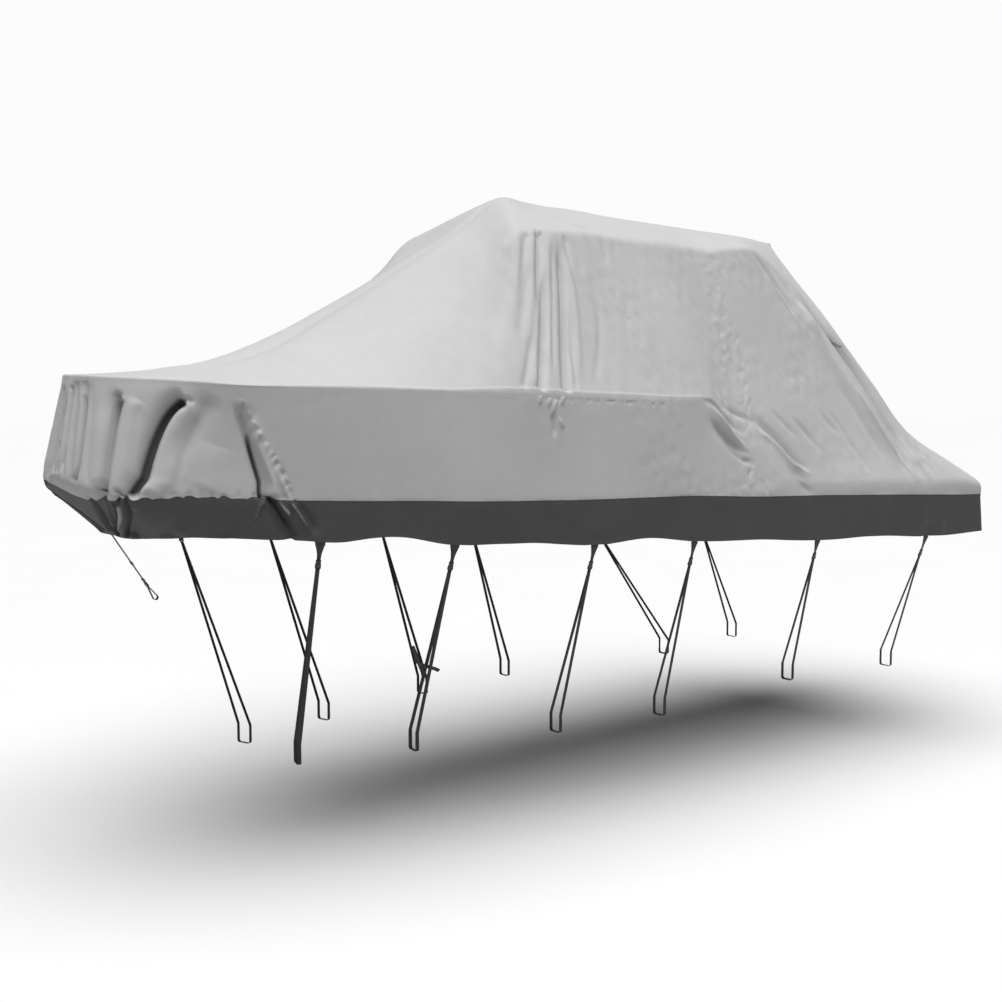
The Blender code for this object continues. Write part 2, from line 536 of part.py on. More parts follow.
def buckle(name, middle, down, across, length, material, collection):
    """A side-release buckle: a waisted block with bevelled edges."""
    half_l, half_w = length / 2, BUCKLE_WIDTH / 2
    outline = (
        (-half_l, -0.86 * half_w), (-0.30 * half_l, -0.86 * half_w), (-0.18 * half_l, -0.66 * half_w),
        (0.16 * half_l, -0.66 * half_w), (0.30 * half_l, -half_w), (half_l, -0.90 * half_w),
    )
    outline += tuple((x, -y) for x, y in reversed(outline))
    curve = bpy.data.curves.new(name, "CURVE")
    curve.dimensions = "2D"
    curve.fill_mode = "BOTH"
    curve.extrude = BUCKLE_THICKNESS / 2
    spline = curve.splines.new("POLY")
    spline.points.add(len(outline) - 1)
    for point, (x, y) in zip(spline.points, outline):
        point.co = (x, y, 0.0, 1.0)
    spline.use_cyclic_u = True
    flat = bpy.data.objects.new(name + "_outline", curve)
    collection.objects.link(flat)
    data = bpy.data.meshes.new_from_object(flat.evaluated_get(bpy.context.evaluated_depsgraph_get()))
    bpy.data.objects.remove(flat)

    mesh = bmesh.new()
    mesh.from_mesh(data)
    bmesh.ops.remove_doubles(mesh, verts=mesh.verts, dist=MERGE)
    bmesh.ops.dissolve_limit(mesh, angle_limit=0.01, verts=mesh.verts, edges=mesh.edges)
    thick = np.cross(down, across)
    for vert in mesh.verts:
        x, y, z = vert.co
        vert.co = to_part(middle + x * down + y * across + z * thick)
    bpy.data.meshes.remove(data)
    thing = closed_object(name, mesh, material, collection)
    edge = thing.modifiers.new("edge", "BEVEL")
    edge.width = BUCKLE_EDGE
    edge.segments = 1
    edge.limit_method = "ANGLE"
    edge.angle_limit = 0.9
    return thing


# ---------------------------------------------------------------- ties
def hem_frame(hem_x, side):
    """Where a tab is sewn: a point on the inner face of the hem, the way up the
    skirt, the way along the hem and the way out, all on one flat of the loft."""
    sections = section_places("stem", "transom")
    rows = [shell(sections, np.full(len(sections), g), side)[1] for g in (GIRTH_ROWS[-1], GIRTH_ROWS[-2])]
    hem, above = rows
    flat = int(np.searchsorted(hem[:, 0], hem_x)) - 1
    along = hem[flat + 1] - hem[flat]
    keep = min(0.5, (TAB_WIDTH / 2 + 0.002) / np.linalg.norm(along))
    part = np.clip((hem_x - hem[flat, 0]) / along[0], keep, 1 - keep)
    low = hem[flat] + along * part
    high = above[flat] + (above[flat + 1] - above[flat]) * part
    up, along = unit(high - low), unit(along)
    out = unit(np.cross(along, up)) * -side
    # A warped flat is two triangles, so the tab keeps clear of the nearer one.
    twist = above[flat + 1] - above[flat] - hem[flat + 1] + hem[flat]
    warp = abs(np.dot(twist, out)) * TAB_SEWN / np.linalg.norm(high - low)
    return low - out * warp, up, along, out


def tie_path(begin, legs_apart, foot_mid, side_way):
    """The loop's path: from the buckle down one leg, round the foot and back up."""
    half = FOOT_WIDTH / 2

    def corner(out, height, angle):
        centre = foot_mid + side_way * out * (half - FOOT_CORNER)
        centre[2] = height + FOOT_CORNER
        turn = side_way * out * sin(angle) - np.array([0.0, 0.0, cos(angle)])
        return centre + FOOT_CORNER * turn

    top_out = foot_mid + side_way * half
    top_in = foot_mid - side_way * half
    apart = legs_apart / 2
    parts = [k / LEG_STEPS for k in range(LEG_STEPS + 1)]
    path = [begin + apart + (top_out - begin - apart) * part for part in parts]
    path += [corner(1, FOOT_BOTTOM, a) for a in (pi / 2, pi / 4, 0)]
    path += [corner(-1, FOOT_BOTTOM, a) for a in (0, pi / 4, pi / 2)]
    path += [top_in + (begin - apart - top_in) * part for part in parts]
    return path


def tail_path(leg_top, leg_foot, across, outboard):
    """The loose end's path beside one leg of its loop, and the way across it."""
    up = unit(leg_top - leg_foot)
    across = unit(across - up * np.dot(across, up))
    off = np.cross(up, across)
    off = off if np.dot(off, outboard) > 0 else -off
    leave = leg_top + (leg_foot - leg_top) * TAIL_FROM
    path = [
        leave + across * a + up * u + off * out
        for (a, u), out in zip(TAIL_ROUTE, TAIL_OUT)
    ]
    ways = []
    for k in range(len(path)):
        run = unit(path[min(k + 1, len(path) - 1)] - path[max(k - 1, 0)])
        flat = run - off * np.dot(run, off)
        turned = np.linalg.norm(flat) < 0.5
        ways.append(ways[-1] if turned else unit(np.cross(flat, off)))
    # Past the fold the webbing runs back, so its way across keeps its first sense.
    return path, [way if np.dot(way, ways[0]) > 0 else -way for way in ways]


def side_tie(name, hem_x, foot_x, foot_y, side, materials, collection):
    """A tab inside the hem, its buckle, and the loop that hangs from it."""
    webbing, plastic = materials
    inner, up, along, out = hem_frame(hem_x, side)
    sewn = inner - out * (WEBBING / 2 + TAB_GAP)
    hem = sewn - up * TAB_LEAD
    foot_mid = np.array([foot_x, side * foot_y, FOOT_TOP])
    down = unit(foot_mid - hem)
    across = unit(along - down * np.dot(along, down))
    outboard = unit(np.array([-along[1], along[0], 0.0])) * side

    path = [sewn + up * TAB_SEWN, sewn, hem]
    path += [hem + down * TAB_TAPER, hem + down * (BUCKLE_DOWN - SEAM_GAP)]
    widths = [TAB_WIDTH, TAB_WIDTH, TAB_WIDTH, WEBBING_WIDTH + 0.002, WEBBING_WIDTH]
    ways = [along, along, along, across, across]
    ribbon(name + "_tab", path, ways, widths, webbing, collection)

    middle = hem + down * (BUCKLE_DOWN + BUCKLE_LENGTH / 2)
    buckle(name + "_buckle", middle, down, across, BUCKLE_LENGTH, plastic, collection)

    begin = hem + down * (BUCKLE_DOWN + BUCKLE_LENGTH + 2 * SEAM_GAP)
    thick = np.cross(down, across)
    thick = thick if np.dot(thick, outboard) > 0 else -thick
    loop = tie_path(begin, thick * LEG_PITCH, foot_mid, outboard)
    count = len(loop)
    ribbon(name + "_loop", loop, [across] * count, [WEBBING_WIDTH] * count, webbing, collection)
    if name == TAIL_TIE:
        tail, ways = tail_path(loop[-1], loop[-1 - LEG_STEPS], across, outboard)
        widths = [WEBBING_WIDTH] * len(tail)
        ribbon(name + "_tail", tail, ways, widths, webbing, collection)


def bow_tie(materials, collection):
    """The single tie that runs from the stem of the hem down and aft."""
    webbing, plastic = materials
    stem = np.array([0.0])
    low = shell(stem, np.array([float(HEM)]), STARBOARD)[1][0]
    high = shell(stem, np.array([HEM - 0.25]), STARBOARD)[1][0]
    out = normals(stem, np.array([float(HEM)]), STARBOARD)[0]
    hem = low - out * (WEBBING / 2 + BOW_TAB_GAP)
    eye = np.array([BOW_EYE_X, 0.0, BOW_EYE_Z])
    down = unit(eye - hem)
    up = unit(high - low)
    across = np.array([0.0, 1.0, 0.0])
    thick = np.cross(down, across)

    path = [hem + up * TAB_SEWN, hem]
    path += [hem + down * TAB_TAPER, hem + down * (BOW_SLIDER_DOWN - SEAM_GAP)]
    ribbon("tie_bow_tab", path, [across] * 4, [WEBBING_WIDTH] * 4, webbing, collection)

    middle = hem + down * (BOW_SLIDER_DOWN + BOW_SLIDER_LENGTH / 2)
    buckle("tie_bow_slider", middle, down, across, BOW_SLIDER_LENGTH, plastic, collection)

    run_start = BOW_SLIDER_DOWN + BOW_SLIDER_LENGTH + SEAM_GAP
    run = [hem + down * run_start, hem + down * (BOW_BUCKLE_DOWN - SEAM_GAP)]
    ribbon("tie_bow_run", run, [across] * 2, [WEBBING_WIDTH] * 2, webbing, collection)

    middle = hem + down * (BOW_BUCKLE_DOWN + BUCKLE_LENGTH / 2)
    buckle("tie_bow_buckle", middle, down, across, BUCKLE_LENGTH, plastic, collection)

    begin = hem + down * (BOW_BUCKLE_DOWN + BUCKLE_LENGTH + 2 * SEAM_GAP)
    reach = np.linalg.norm(eye - begin)
    half = BOW_EYE_WIDTH / 2
    path = [begin + thick * LEG_PITCH / 2, begin + down * reach + thick * half]
    for step in range(1, 6):
        turn = pi * step / 6
        path.append(begin + down * (reach + half * sin(turn)) + thick * half * cos(turn))
    path += [begin + down * reach - thick * half, begin - thick * LEG_PITCH / 2]
    count = len(path)
    ribbon("tie_bow_loop", path, [across] * count, [WEBBING_WIDTH] * count, webbing, collection)


# ---------------------------------------------------------------- finishes
def finish(name, look):
    colour, roughness = look
    material = bpy.data.materials.new(name)
    material.use_nodes = True
    shader = material.node_tree.nodes["Principled BSDF"]
    shader.inputs["Base Color"].default_value = (*colour, 1.0)
    shader.inputs["Roughness"].default_value = roughness
    shader.inputs["Metallic"].default_value = 0.0
    material.diffuse_color = (*colour, 1.0)
    return material


# ---------------------------------------------------------------- the cover
# One row for each cut panel: name, first and last section, top and bottom
# girth place, and the sides that it lies on.
BOTH = (PORT, STARBOARD)
PANELS = (
    ("top_panel", "stem", "mid_seam", CREST, RAIL_SEAM, BOTH),
    ("bow_panel", "stem", "bow_seam", RAIL_SEAM, SKIRT, BOTH),
    ("side_panel_port", "bow_seam", "mid_seam", RAIL_SEAM, SKIRT, (PORT,)),
    ("side_panel_starboard", "bow_seam", "mid_seam", RAIL_SEAM, SKIRT, (STARBOARD,)),
    ("mid_panel", "mid_seam", "aft_seam", CREST, SKIRT, BOTH),
    ("aft_panel", "aft_seam", "transom", CREST, SKIRT, BOTH),
)
SKIRTS = (
    ("bow_skirt", "stem", "bow_seam", SKIRT, HEM, BOTH),
    ("side_skirt_port", "bow_seam", "aft_seam", SKIRT, HEM, (PORT,)),
    ("side_skirt_starboard", "bow_seam", "aft_seam", SKIRT, HEM, (STARBOARD,)),
    ("stern_skirt", "aft_seam", "transom", SKIRT, HEM, BOTH),
)


def main():
    for thing in list(bpy.data.objects):
        bpy.data.objects.remove(thing, do_unlink=True)
    collection = bpy.data.collections.new(COVER_NAME)
    bpy.context.scene.collection.children.link(collection)

    light = finish("light_cloth", LIGHT_CLOTH)
    dark = finish("dark_cloth", DARK_CLOTH)
    tie_finishes = finish("webbing", WEBBING_BLACK), finish("buckle_plastic", BUCKLE_BLACK)

    for row in PANELS:
        cloth_panel(*row, light, collection)
    for row in SKIRTS:
        cloth_panel(*row, dark, collection)
    for name, hem_x, foot_x, foot_y in TIES:
        for side, word in ((PORT, "_port"), (STARBOARD, "_starboard")):
            side_tie(name + word, hem_x, foot_x, foot_y, side, tie_finishes, collection)
    bow_tie(tie_finishes, collection)


main()
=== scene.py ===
# %% [markdown]
# # A fitted boat cover, panel by panel
#
# This file dresses a packed model of a fitted cover in cloth, webbing and plastic. On the
# real thing a sewing loft cuts panels of coated polyester, joins them with felled seams,
# adds a dark skirt with a hem, and sews webbing ties into that hem. Each of these is made
# here as its own piece, round the plain solids that the frame brings in. Lengths are in
# metres. X runs aft, Y to starboard and Z up.

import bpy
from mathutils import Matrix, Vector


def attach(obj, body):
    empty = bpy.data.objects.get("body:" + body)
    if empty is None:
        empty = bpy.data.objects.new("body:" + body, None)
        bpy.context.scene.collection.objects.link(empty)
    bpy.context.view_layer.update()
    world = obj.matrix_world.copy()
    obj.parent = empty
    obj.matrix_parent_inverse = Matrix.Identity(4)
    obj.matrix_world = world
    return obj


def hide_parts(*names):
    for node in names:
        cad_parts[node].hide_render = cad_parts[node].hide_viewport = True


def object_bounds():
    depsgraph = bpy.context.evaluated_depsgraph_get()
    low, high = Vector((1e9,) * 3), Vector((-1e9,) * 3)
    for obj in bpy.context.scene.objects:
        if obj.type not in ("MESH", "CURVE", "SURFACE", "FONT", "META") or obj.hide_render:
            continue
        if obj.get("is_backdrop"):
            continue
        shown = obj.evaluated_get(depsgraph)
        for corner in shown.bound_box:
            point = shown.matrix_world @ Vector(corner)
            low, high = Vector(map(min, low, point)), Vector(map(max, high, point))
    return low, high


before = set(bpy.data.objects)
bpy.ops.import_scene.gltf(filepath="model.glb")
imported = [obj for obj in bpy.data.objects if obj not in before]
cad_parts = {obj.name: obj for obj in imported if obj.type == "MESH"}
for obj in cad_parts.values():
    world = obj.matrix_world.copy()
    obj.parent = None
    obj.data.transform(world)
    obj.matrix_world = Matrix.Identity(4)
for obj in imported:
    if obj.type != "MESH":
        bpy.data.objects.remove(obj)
cad_box = [list(corner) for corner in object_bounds()]
print("nodes in the frame:", len(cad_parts))
print("box of the frame:", [[round(v, 3) for v in corner] for corner in cad_box])

# %% The tools of the craft
from math import cos, pi, radians, sin

import bmesh
import bpy
import numpy as np

PORT, STARBOARD = -1, 1
print("Blender", bpy.app.version_string)

# %% [markdown]
# ## The camera
#
# The camera stands off the port bow, a little above the hem, and looks slightly down. A
# longish lens keeps the sides of so long a thing from splaying. It comes first because
# the ties, which are free cords, are measured against what it sees.

# %% The camera
def add_object(name, data):
    """A new object in the scene."""
    thing = bpy.data.objects.new(name, data)
    bpy.context.scene.collection.objects.link(thing)
    return thing


CAMERA_PLACE = (-7.369, -8.016, -1.024)
CAMERA_HEADING = 39.51  # degrees from +Y towards +X
CAMERA_DOWN = 5.48  # degrees below the horizon
CAMERA_LENS = 53.9  # millimetres, on a sensor 36 mm wide

camera = add_object("camera", bpy.data.cameras.new("camera"))
camera.data.lens = CAMERA_LENS
camera.data.sensor_width = 36.0
camera.data.clip_end = 300.0
camera.location = CAMERA_PLACE
camera.rotation_euler = (radians(90 - CAMERA_DOWN), 0.0, radians(-CAMERA_HEADING))
bpy.context.scene.camera = camera
print("camera heading", CAMERA_HEADING, "degrees, lens", CAMERA_LENS, "mm")

# %% [markdown]
# ## The shape under the cloth
#
# A cover is drafted in slices: a row of cross-sections, each with a crest, a shoulder at
# the edge of the roof, a rail, a lip over the skirt, the top of the skirt and the hem. A
# smooth curve through the rows gives the shape between them. One table keeps all of it,
# so a change to one row moves cloth, seams and stitches together. Here, lengths run aft
# from the foremost cloth and heights go up from the lowest hem.

# %% Cross-sections
HOLD_AFT = 4.05  # the frame's origin, aft of the foremost cloth
HOLD_HEIGHT = 2.438  # and above the lowest hem
RAIL_SEAM = 2.07  # girth place of the seam just below the rail fold
CLOTH = 0.002  # thickness of a solid's cloth

# Girth places: 0 crest, 1 shoulder, 2 rail, 3 lip, 4 top of the skirt, 5 hem.
CREST, SHOULDER, RAIL, LIP, SKIRT, HEM = range(6)

# One row for each cross-section.  columns: how many columns of faces the loft
# has up to the next row.  lip_up and lip_drop: how far the lip lies above the
# skirt, and 0 if it stays on the slope or 1 if it hangs plumb.
SECTION_COLUMNS = (
    "name", "columns", "crest_x", "crest_z",
    "shoulder_x", "shoulder_y", "shoulder_z", "rail_x", "rail_y", "rail_z",
    "lip_up", "lip_drop", "skirt_x", "skirt_y", "skirt_z", "hem_x", "hem_y", "hem_z",
    "crest_r", "shoulder_r", "rail_r",
)
SECTIONS = (
    ("stem", 4, 0.95, 1.365, 0.52, 0.0, 1.328, 0.17, 0.0, 1.315,
     0.1, 0.0, 0.058, 0.0, 0.757, 0.392, 0.0, 0.4, 0.3, 0.15, 0.03),
    ("bow_a", 7, 0.99, 1.372, 0.56, 0.08, 1.328, 0.195, 0.14, 1.312,
     0.1, 0.0, 0.08, 0.18, 0.722, 0.408, 0.16, 0.4, 0.3, 0.15, 0.03),
    ("bow_b", 10, 1.08, 1.392, 0.65, 0.2, 1.33, 0.296, 0.33, 1.303,
     0.1, 0.0, 0.176, 0.4, 0.668, 0.502, 0.36, 0.4, 0.3, 0.15, 0.03),
    ("bow_c", 11, 1.24, 1.415, 0.85, 0.33, 1.335, 0.5, 0.56, 1.29,
     0.1, 0.0, 0.52, 0.64, 0.645, 0.78, 0.62, 0.395, 0.3, 0.2, 0.03),
    ("bow_seam", 4, 1.45, 1.496, 1.1, 0.42, 1.35, 0.783, 0.76, 1.268,
     0.1, 0.0, 1.06, 0.86, 0.622, 1.12, 0.84, 0.386, 0.28, 0.25, 0.03),
    ("fwd_a", 3, 1.8, 1.692, 1.52, 0.48, 1.445, 1.2, 0.92, 1.25,
     0.1, 0.0, 1.42, 0.99, 0.605, 1.46, 0.955, 0.348, 0.24, 0.3, 0.025),
    ("fwd_b", 3, 2.2, 1.91, 1.95, 0.5, 1.605, 1.65, 1.03, 1.235,
     0.1, 0.0, 1.82, 1.1, 0.588, 1.86, 1.065, 0.325, 0.2, 0.3, 0.025),
    ("fwd_c", 3, 2.6, 2.12, 2.37, 0.52, 1.815, 2.0, 1.085, 1.222,
     0.1, 0.0, 2.12, 1.155, 0.573, 2.16, 1.12, 0.308, 0.16, 0.26, 0.025),
    ("fwd_d", 5, 2.96, 2.3, 2.705, 0.56, 2.035, 2.28, 1.115, 1.212,
     0.1, 0.0, 2.38, 1.185, 0.56, 2.42, 1.15, 0.29, 0.1, 0.16, 0.025),
    ("front_corner", 9, 3.326, 2.51, 2.955, 0.6, 2.225, 2.53, 1.13, 1.202,
     0.1, 0.0, 2.62, 1.205, 0.55, 2.66, 1.17, 0.273, 0.04, 0.06, 0.025),
    ("roof_a", 4, 3.47, 2.493, 3.18, 0.605, 2.232, 2.82, 1.145, 1.19,
     0.1, 0.0, 2.92, 1.225, 0.538, 2.96, 1.19, 0.25, 0.05, 0.04, 0.025),
    ("mid_seam", 3, 3.64, 2.476, 3.464, 0.6, 2.236, 3.77, 1.17, 1.14,
     0.1, 0.0, 3.866, 1.25, 0.508, 3.9, 1.22, 0.203, 0.05, 0.04, 0.03),
    ("roof_b", 4, 4.2, 2.441, 4.08, 0.6, 2.214, 4.15, 1.145, 1.128,
     0.1, 0.0, 4.2, 1.25, 0.488, 4.24, 1.22, 0.175, 0.05, 0.05, 0.04),
    ("aft_seam", 4, 4.8, 2.409, 4.659, 0.6, 2.185, 4.52, 1.17, 0.82,
     0.1, 0.2, 4.5, 1.25, 0.466, 4.56, 1.22, 0.15, 0.05, 0.05, 0.1),
    ("aft_a", 4, 5.18, 2.388, 4.9, 0.6, 2.205, 5.1, 1.2, 0.62,
     0.1, 0.5, 5.3, 1.25, 0.43, 5.34, 1.22, 0.1, 0.05, 0.05, 0.15),
    ("rear_corner", 5, 5.6, 2.366, 5.117, 0.6, 2.214, 6.15, 1.12, 0.7,
     0.1, 0.8, 6.45, 1.25, 0.368, 6.48, 1.21, 0.04, 0.05, 0.05, 0.2),
    ("hip_a", 4, 5.86, 2.356, 5.6, 0.55, 2.035, 6.38, 1.04, 0.82,
     0.1, 1.0, 6.96, 1.248, 0.338, 7.0, 1.22, 0.022, 0.05, 0.07, 0.22),
    ("hip_b", 4, 6.0, 2.346, 6.02, 0.71, 1.6, 6.55, 0.98, 0.85,
     0.08, 1.0, 7.22, 1.238, 0.325, 7.3, 1.215, 0.02, 0.05, 0.2, 0.22),
    ("stern_corner", 3, 6.03, 2.343, 6.2, 0.52, 1.6, 6.74, 0.82, 0.8,
     0.09, 1.0, 7.33, 1.14, 0.318, 7.39, 1.13, 0.02, 0.05, 0.2, 0.22),
    ("transom_a", 2, 6.06, 2.34, 6.36, 0.28, 1.59, 6.9, 0.45, 0.76,
     0.11, 1.0, 7.38, 0.6, 0.312, 7.44, 0.6, 0.02, 0.05, 0.2, 0.22),
    ("transom", 0, 6.08, 2.337, 6.42, 0.0, 1.585, 6.95, 0.0, 0.74,
     0.11, 1.0, 7.39, 0.0, 0.31, 7.45, 0.0, 0.02, 0.05, 0.2, 0.22),
)
LIP_RADIUS = 0.05
SKIRT_RADIUS = 0.04
MOST_FALL = 0.8  # steepest slope that the soft crest is rounded for
MOST_CREST = 0.6  # widest soft crest, as a part of the shoulder's breadth
MOST_ROUND = 0.49  # longest rounding, as a part of the straight beside it
LEAST_BREADTH = 0.02  # a shoulder narrower than this has no soft crest
print("cross-sections:", len(SECTIONS), "from", SECTIONS[0][0], "to", SECTIONS[-1][0])

# %% [markdown]
# Between two rows of the table each column is read on a monotone cubic, which never
# swings past its rows as a plain spline would. A point is then found in two steps: first
# on the straight lines between the six guides, then on the parabolas that round them.

# %% Reading the table


def column(name):
    """One named column of SECTIONS as numbers."""
    place = SECTION_COLUMNS.index(name)
    return np.array([row[place] for row in SECTIONS], float)


def section_number(name):
    return [row[0] for row in SECTIONS].index(name)


BOW_SEAM, MID_SEAM, AFT_SEAM, TRANSOM = (
    section_number(name) for name in ("bow_seam", "mid_seam", "aft_seam", "transom")
)


def monotone(values, at):
    """Read a column between its rows, on a smooth curve that never overshoots."""
    step = np.diff(values)
    slope = np.zeros(len(values))
    slope[0], slope[-1] = step[0], step[-1]
    same_way = step[:-1] * step[1:] > 0
    total = np.where(same_way, step[:-1] + step[1:], 1.0)
    slope[1:-1] = np.where(same_way, 2.0 * step[:-1] * step[1:] / total, 0.0)
    row = np.clip(np.floor(at).astype(int), 0, len(values) - 2)
    t = at - row
    return (
        (1 + 2 * t) * (1 - t) ** 2 * values[row]
        + t * (1 - t) ** 2 * slope[row]
        + t * t * (3 - 2 * t) * values[row + 1]
        + t * t * (t - 1) * slope[row + 1]
    )


print("cross seams at the sections", BOW_SEAM, MID_SEAM, AFT_SEAM, "and the last at", TRANSOM)

# %% [markdown]
# Real cloth is drawn up where it is pulled and sharp where it is stretched over an edge.
# So the tight rail is rounded less than drafted, and the hem rises a little between ties.

# %% From the table to points on the cloth
RAIL_CRISP = 0.35  # the tight rail is rounded by this part of the drafted radius
RAIL_SOFT = 11.5  # up to this section
# Between two ties the hem is drawn up in a low arch: from x to x, and its rise.
HEM_ARCHES = (
    (0.4, 1.24, 0.012),
    (1.24, 2.06, 0.048),
    (2.06, 3.07, 0.01),
    (3.07, 3.95, 0.03),
    (3.95, 5.23, 0.012),
    (5.23, 6.56, 0.018),
)


def guides(section):
    """The six guide points of a section, and the rounding radius at each."""
    value = {name: monotone(column(name), section) for name in SECTION_COLUMNS[2:]}
    zero = np.zeros(len(section))

    def point(name):
        return np.stack([value[name + "_x"], value[name + "_y"], value[name + "_z"]], -1)

    crest = np.stack([value["crest_x"], zero, value["crest_z"]], -1)
    shoulder, rail, skirt, hem = (point(n) for n in ("shoulder", "rail", "skirt", "hem"))
    slope = rail - skirt
    slope /= np.linalg.norm(slope, axis=1)[:, None]
    drop = value["lip_drop"][:, None]
    up = np.array([0.0, 0.0, 1.0])
    lip = skirt + value["lip_up"][:, None] * ((1 - drop) * slope + drop * up)
    places = np.stack([crest, shoulder, rail, lip, skirt, hem], 1)
    crisp = RAIL_CRISP + (1 - RAIL_CRISP) * np.clip(section - RAIL_SOFT, 0, 1)
    lower = [zero + LIP_RADIUS, zero + SKIRT_RADIUS, zero]
    radii = np.stack([zero, value["shoulder_r"], value["rail_r"] * crisp] + lower, 1)
    return places, radii, value["crest_r"]


def toward(a, b, length):
    """The point at a length from a on the way to b."""
    way = b - a
    return a + way / np.maximum(np.linalg.norm(way, axis=1), 1e-9)[:, None] * length[:, None]


# %% Points of the half shell
def half_shell(section, girth):
    """Points of the starboard half, before its folds, at one place or at many."""
    section, girth = np.broadcast_arrays(np.atleast_1d(section), np.atleast_1d(girth))
    places, radii, crest_radius = guides(section.astype(float))
    every = np.arange(len(girth))
    start = np.clip(np.floor(girth).astype(int), 0, 4)
    part = girth - start
    first, last = places[every, start], places[every, start + 1]
    length = np.linalg.norm(last - first, axis=1)
    points = first + (last - first) * part[:, None]

    # Each guide between the crest and the hem is rounded by a parabola.
    for after in (0, 1):
        at = np.clip(start + after, 1, 4)
        corner, before, beyond = (places[every, at + k] for k in (0, -1, 1))
        radius = radii[every, at]
        back = np.minimum(radius, MOST_ROUND * np.linalg.norm(corner - before, axis=1))
        ahead = np.minimum(radius, MOST_ROUND * np.linalg.norm(beyond - corner, axis=1))
        away = (1 - part) * length if after else part * length
        reach = back if after else ahead
        t = 0.5 + (-0.5 if after else 0.5) * away / np.maximum(reach, 1e-9)
        t = t[:, None]
        enter, leave = toward(corner, before, back), toward(corner, beyond, ahead)
        rounded = (1 - t) ** 2 * enter + 2 * t * (1 - t) * corner + t * t * leave
        near = (start + after == at) & (away < reach)
        points = np.where(near[:, None], rounded, points)

    # The crest is a ridge with a soft top.
    breadth = np.maximum(places[:, SHOULDER, 1], 1e-3)
    fall = np.minimum((places[:, CREST, 2] - places[:, SHOULDER, 2]) / breadth, MOST_FALL)
    soft = np.minimum(crest_radius, MOST_CREST * breadth)
    on_top = (start == CREST) & (points[:, 1] < soft) & (breadth > LEAST_BREADTH)
    points[:, 2] -= np.where(on_top, fall * (soft - points[:, 1]) ** 2 / (2 * soft), 0.0)

    # The skirt is drawn up with the hem between the ties.
    below = np.clip(girth - SKIRT, 0, 1)
    for start_x, end_x, rise in HEM_ARCHES:
        along_arch = np.clip((points[:, 0] - start_x) / (end_x - start_x), 0, 1)
        points[:, 2] += below * rise * np.sin(pi * along_arch) ** 2
    return points


def on_side(points, side):
    return points * np.array([1.0, float(side), 1.0])


print("height of the front corner: %.3f m" % half_shell(section_number("front_corner"), 0.0)[0, 2])

# %% [markdown]
# Folds, seams and stitches stand off the cloth along its normal. That is the cross
# product of two short steps on the shell, one along the cover and one down it.

# %% Which way is out
NORMAL_STEP = 0.01  # in section and girth places


def normals(section, girth, side):
    """Outward normals of the shell before its folds."""
    step = NORMAL_STEP
    behind, ahead = np.maximum(section - step, 0), np.minimum(section + step, TRANSOM)
    above, below = np.maximum(girth - step, 0), np.minimum(girth + step, HEM)
    aft = half_shell(ahead, girth) - half_shell(behind, girth)
    down = half_shell(section, below) - half_shell(section, above)
    out = np.cross(aft, down)
    # On the centreline the shell runs straight across.
    out[(np.abs(half_shell(section, girth)[:, 1]) < 1e-9)] *= np.array([1.0, 0.0, 1.0])
    out /= np.maximum(np.linalg.norm(out, axis=1), 1e-12)[:, None]
    return on_side(out, side)


def run_along(points):
    """How far along a line each of its points lies."""
    return np.concatenate([[0.0], np.linalg.norm(np.diff(points, axis=0), axis=1).cumsum()])


hem_length = 2 * run_along(half_shell(np.linspace(0, TRANSOM, 400), HEM))[-1]
print("length of the hem, all round: %.2f m" % hem_length)
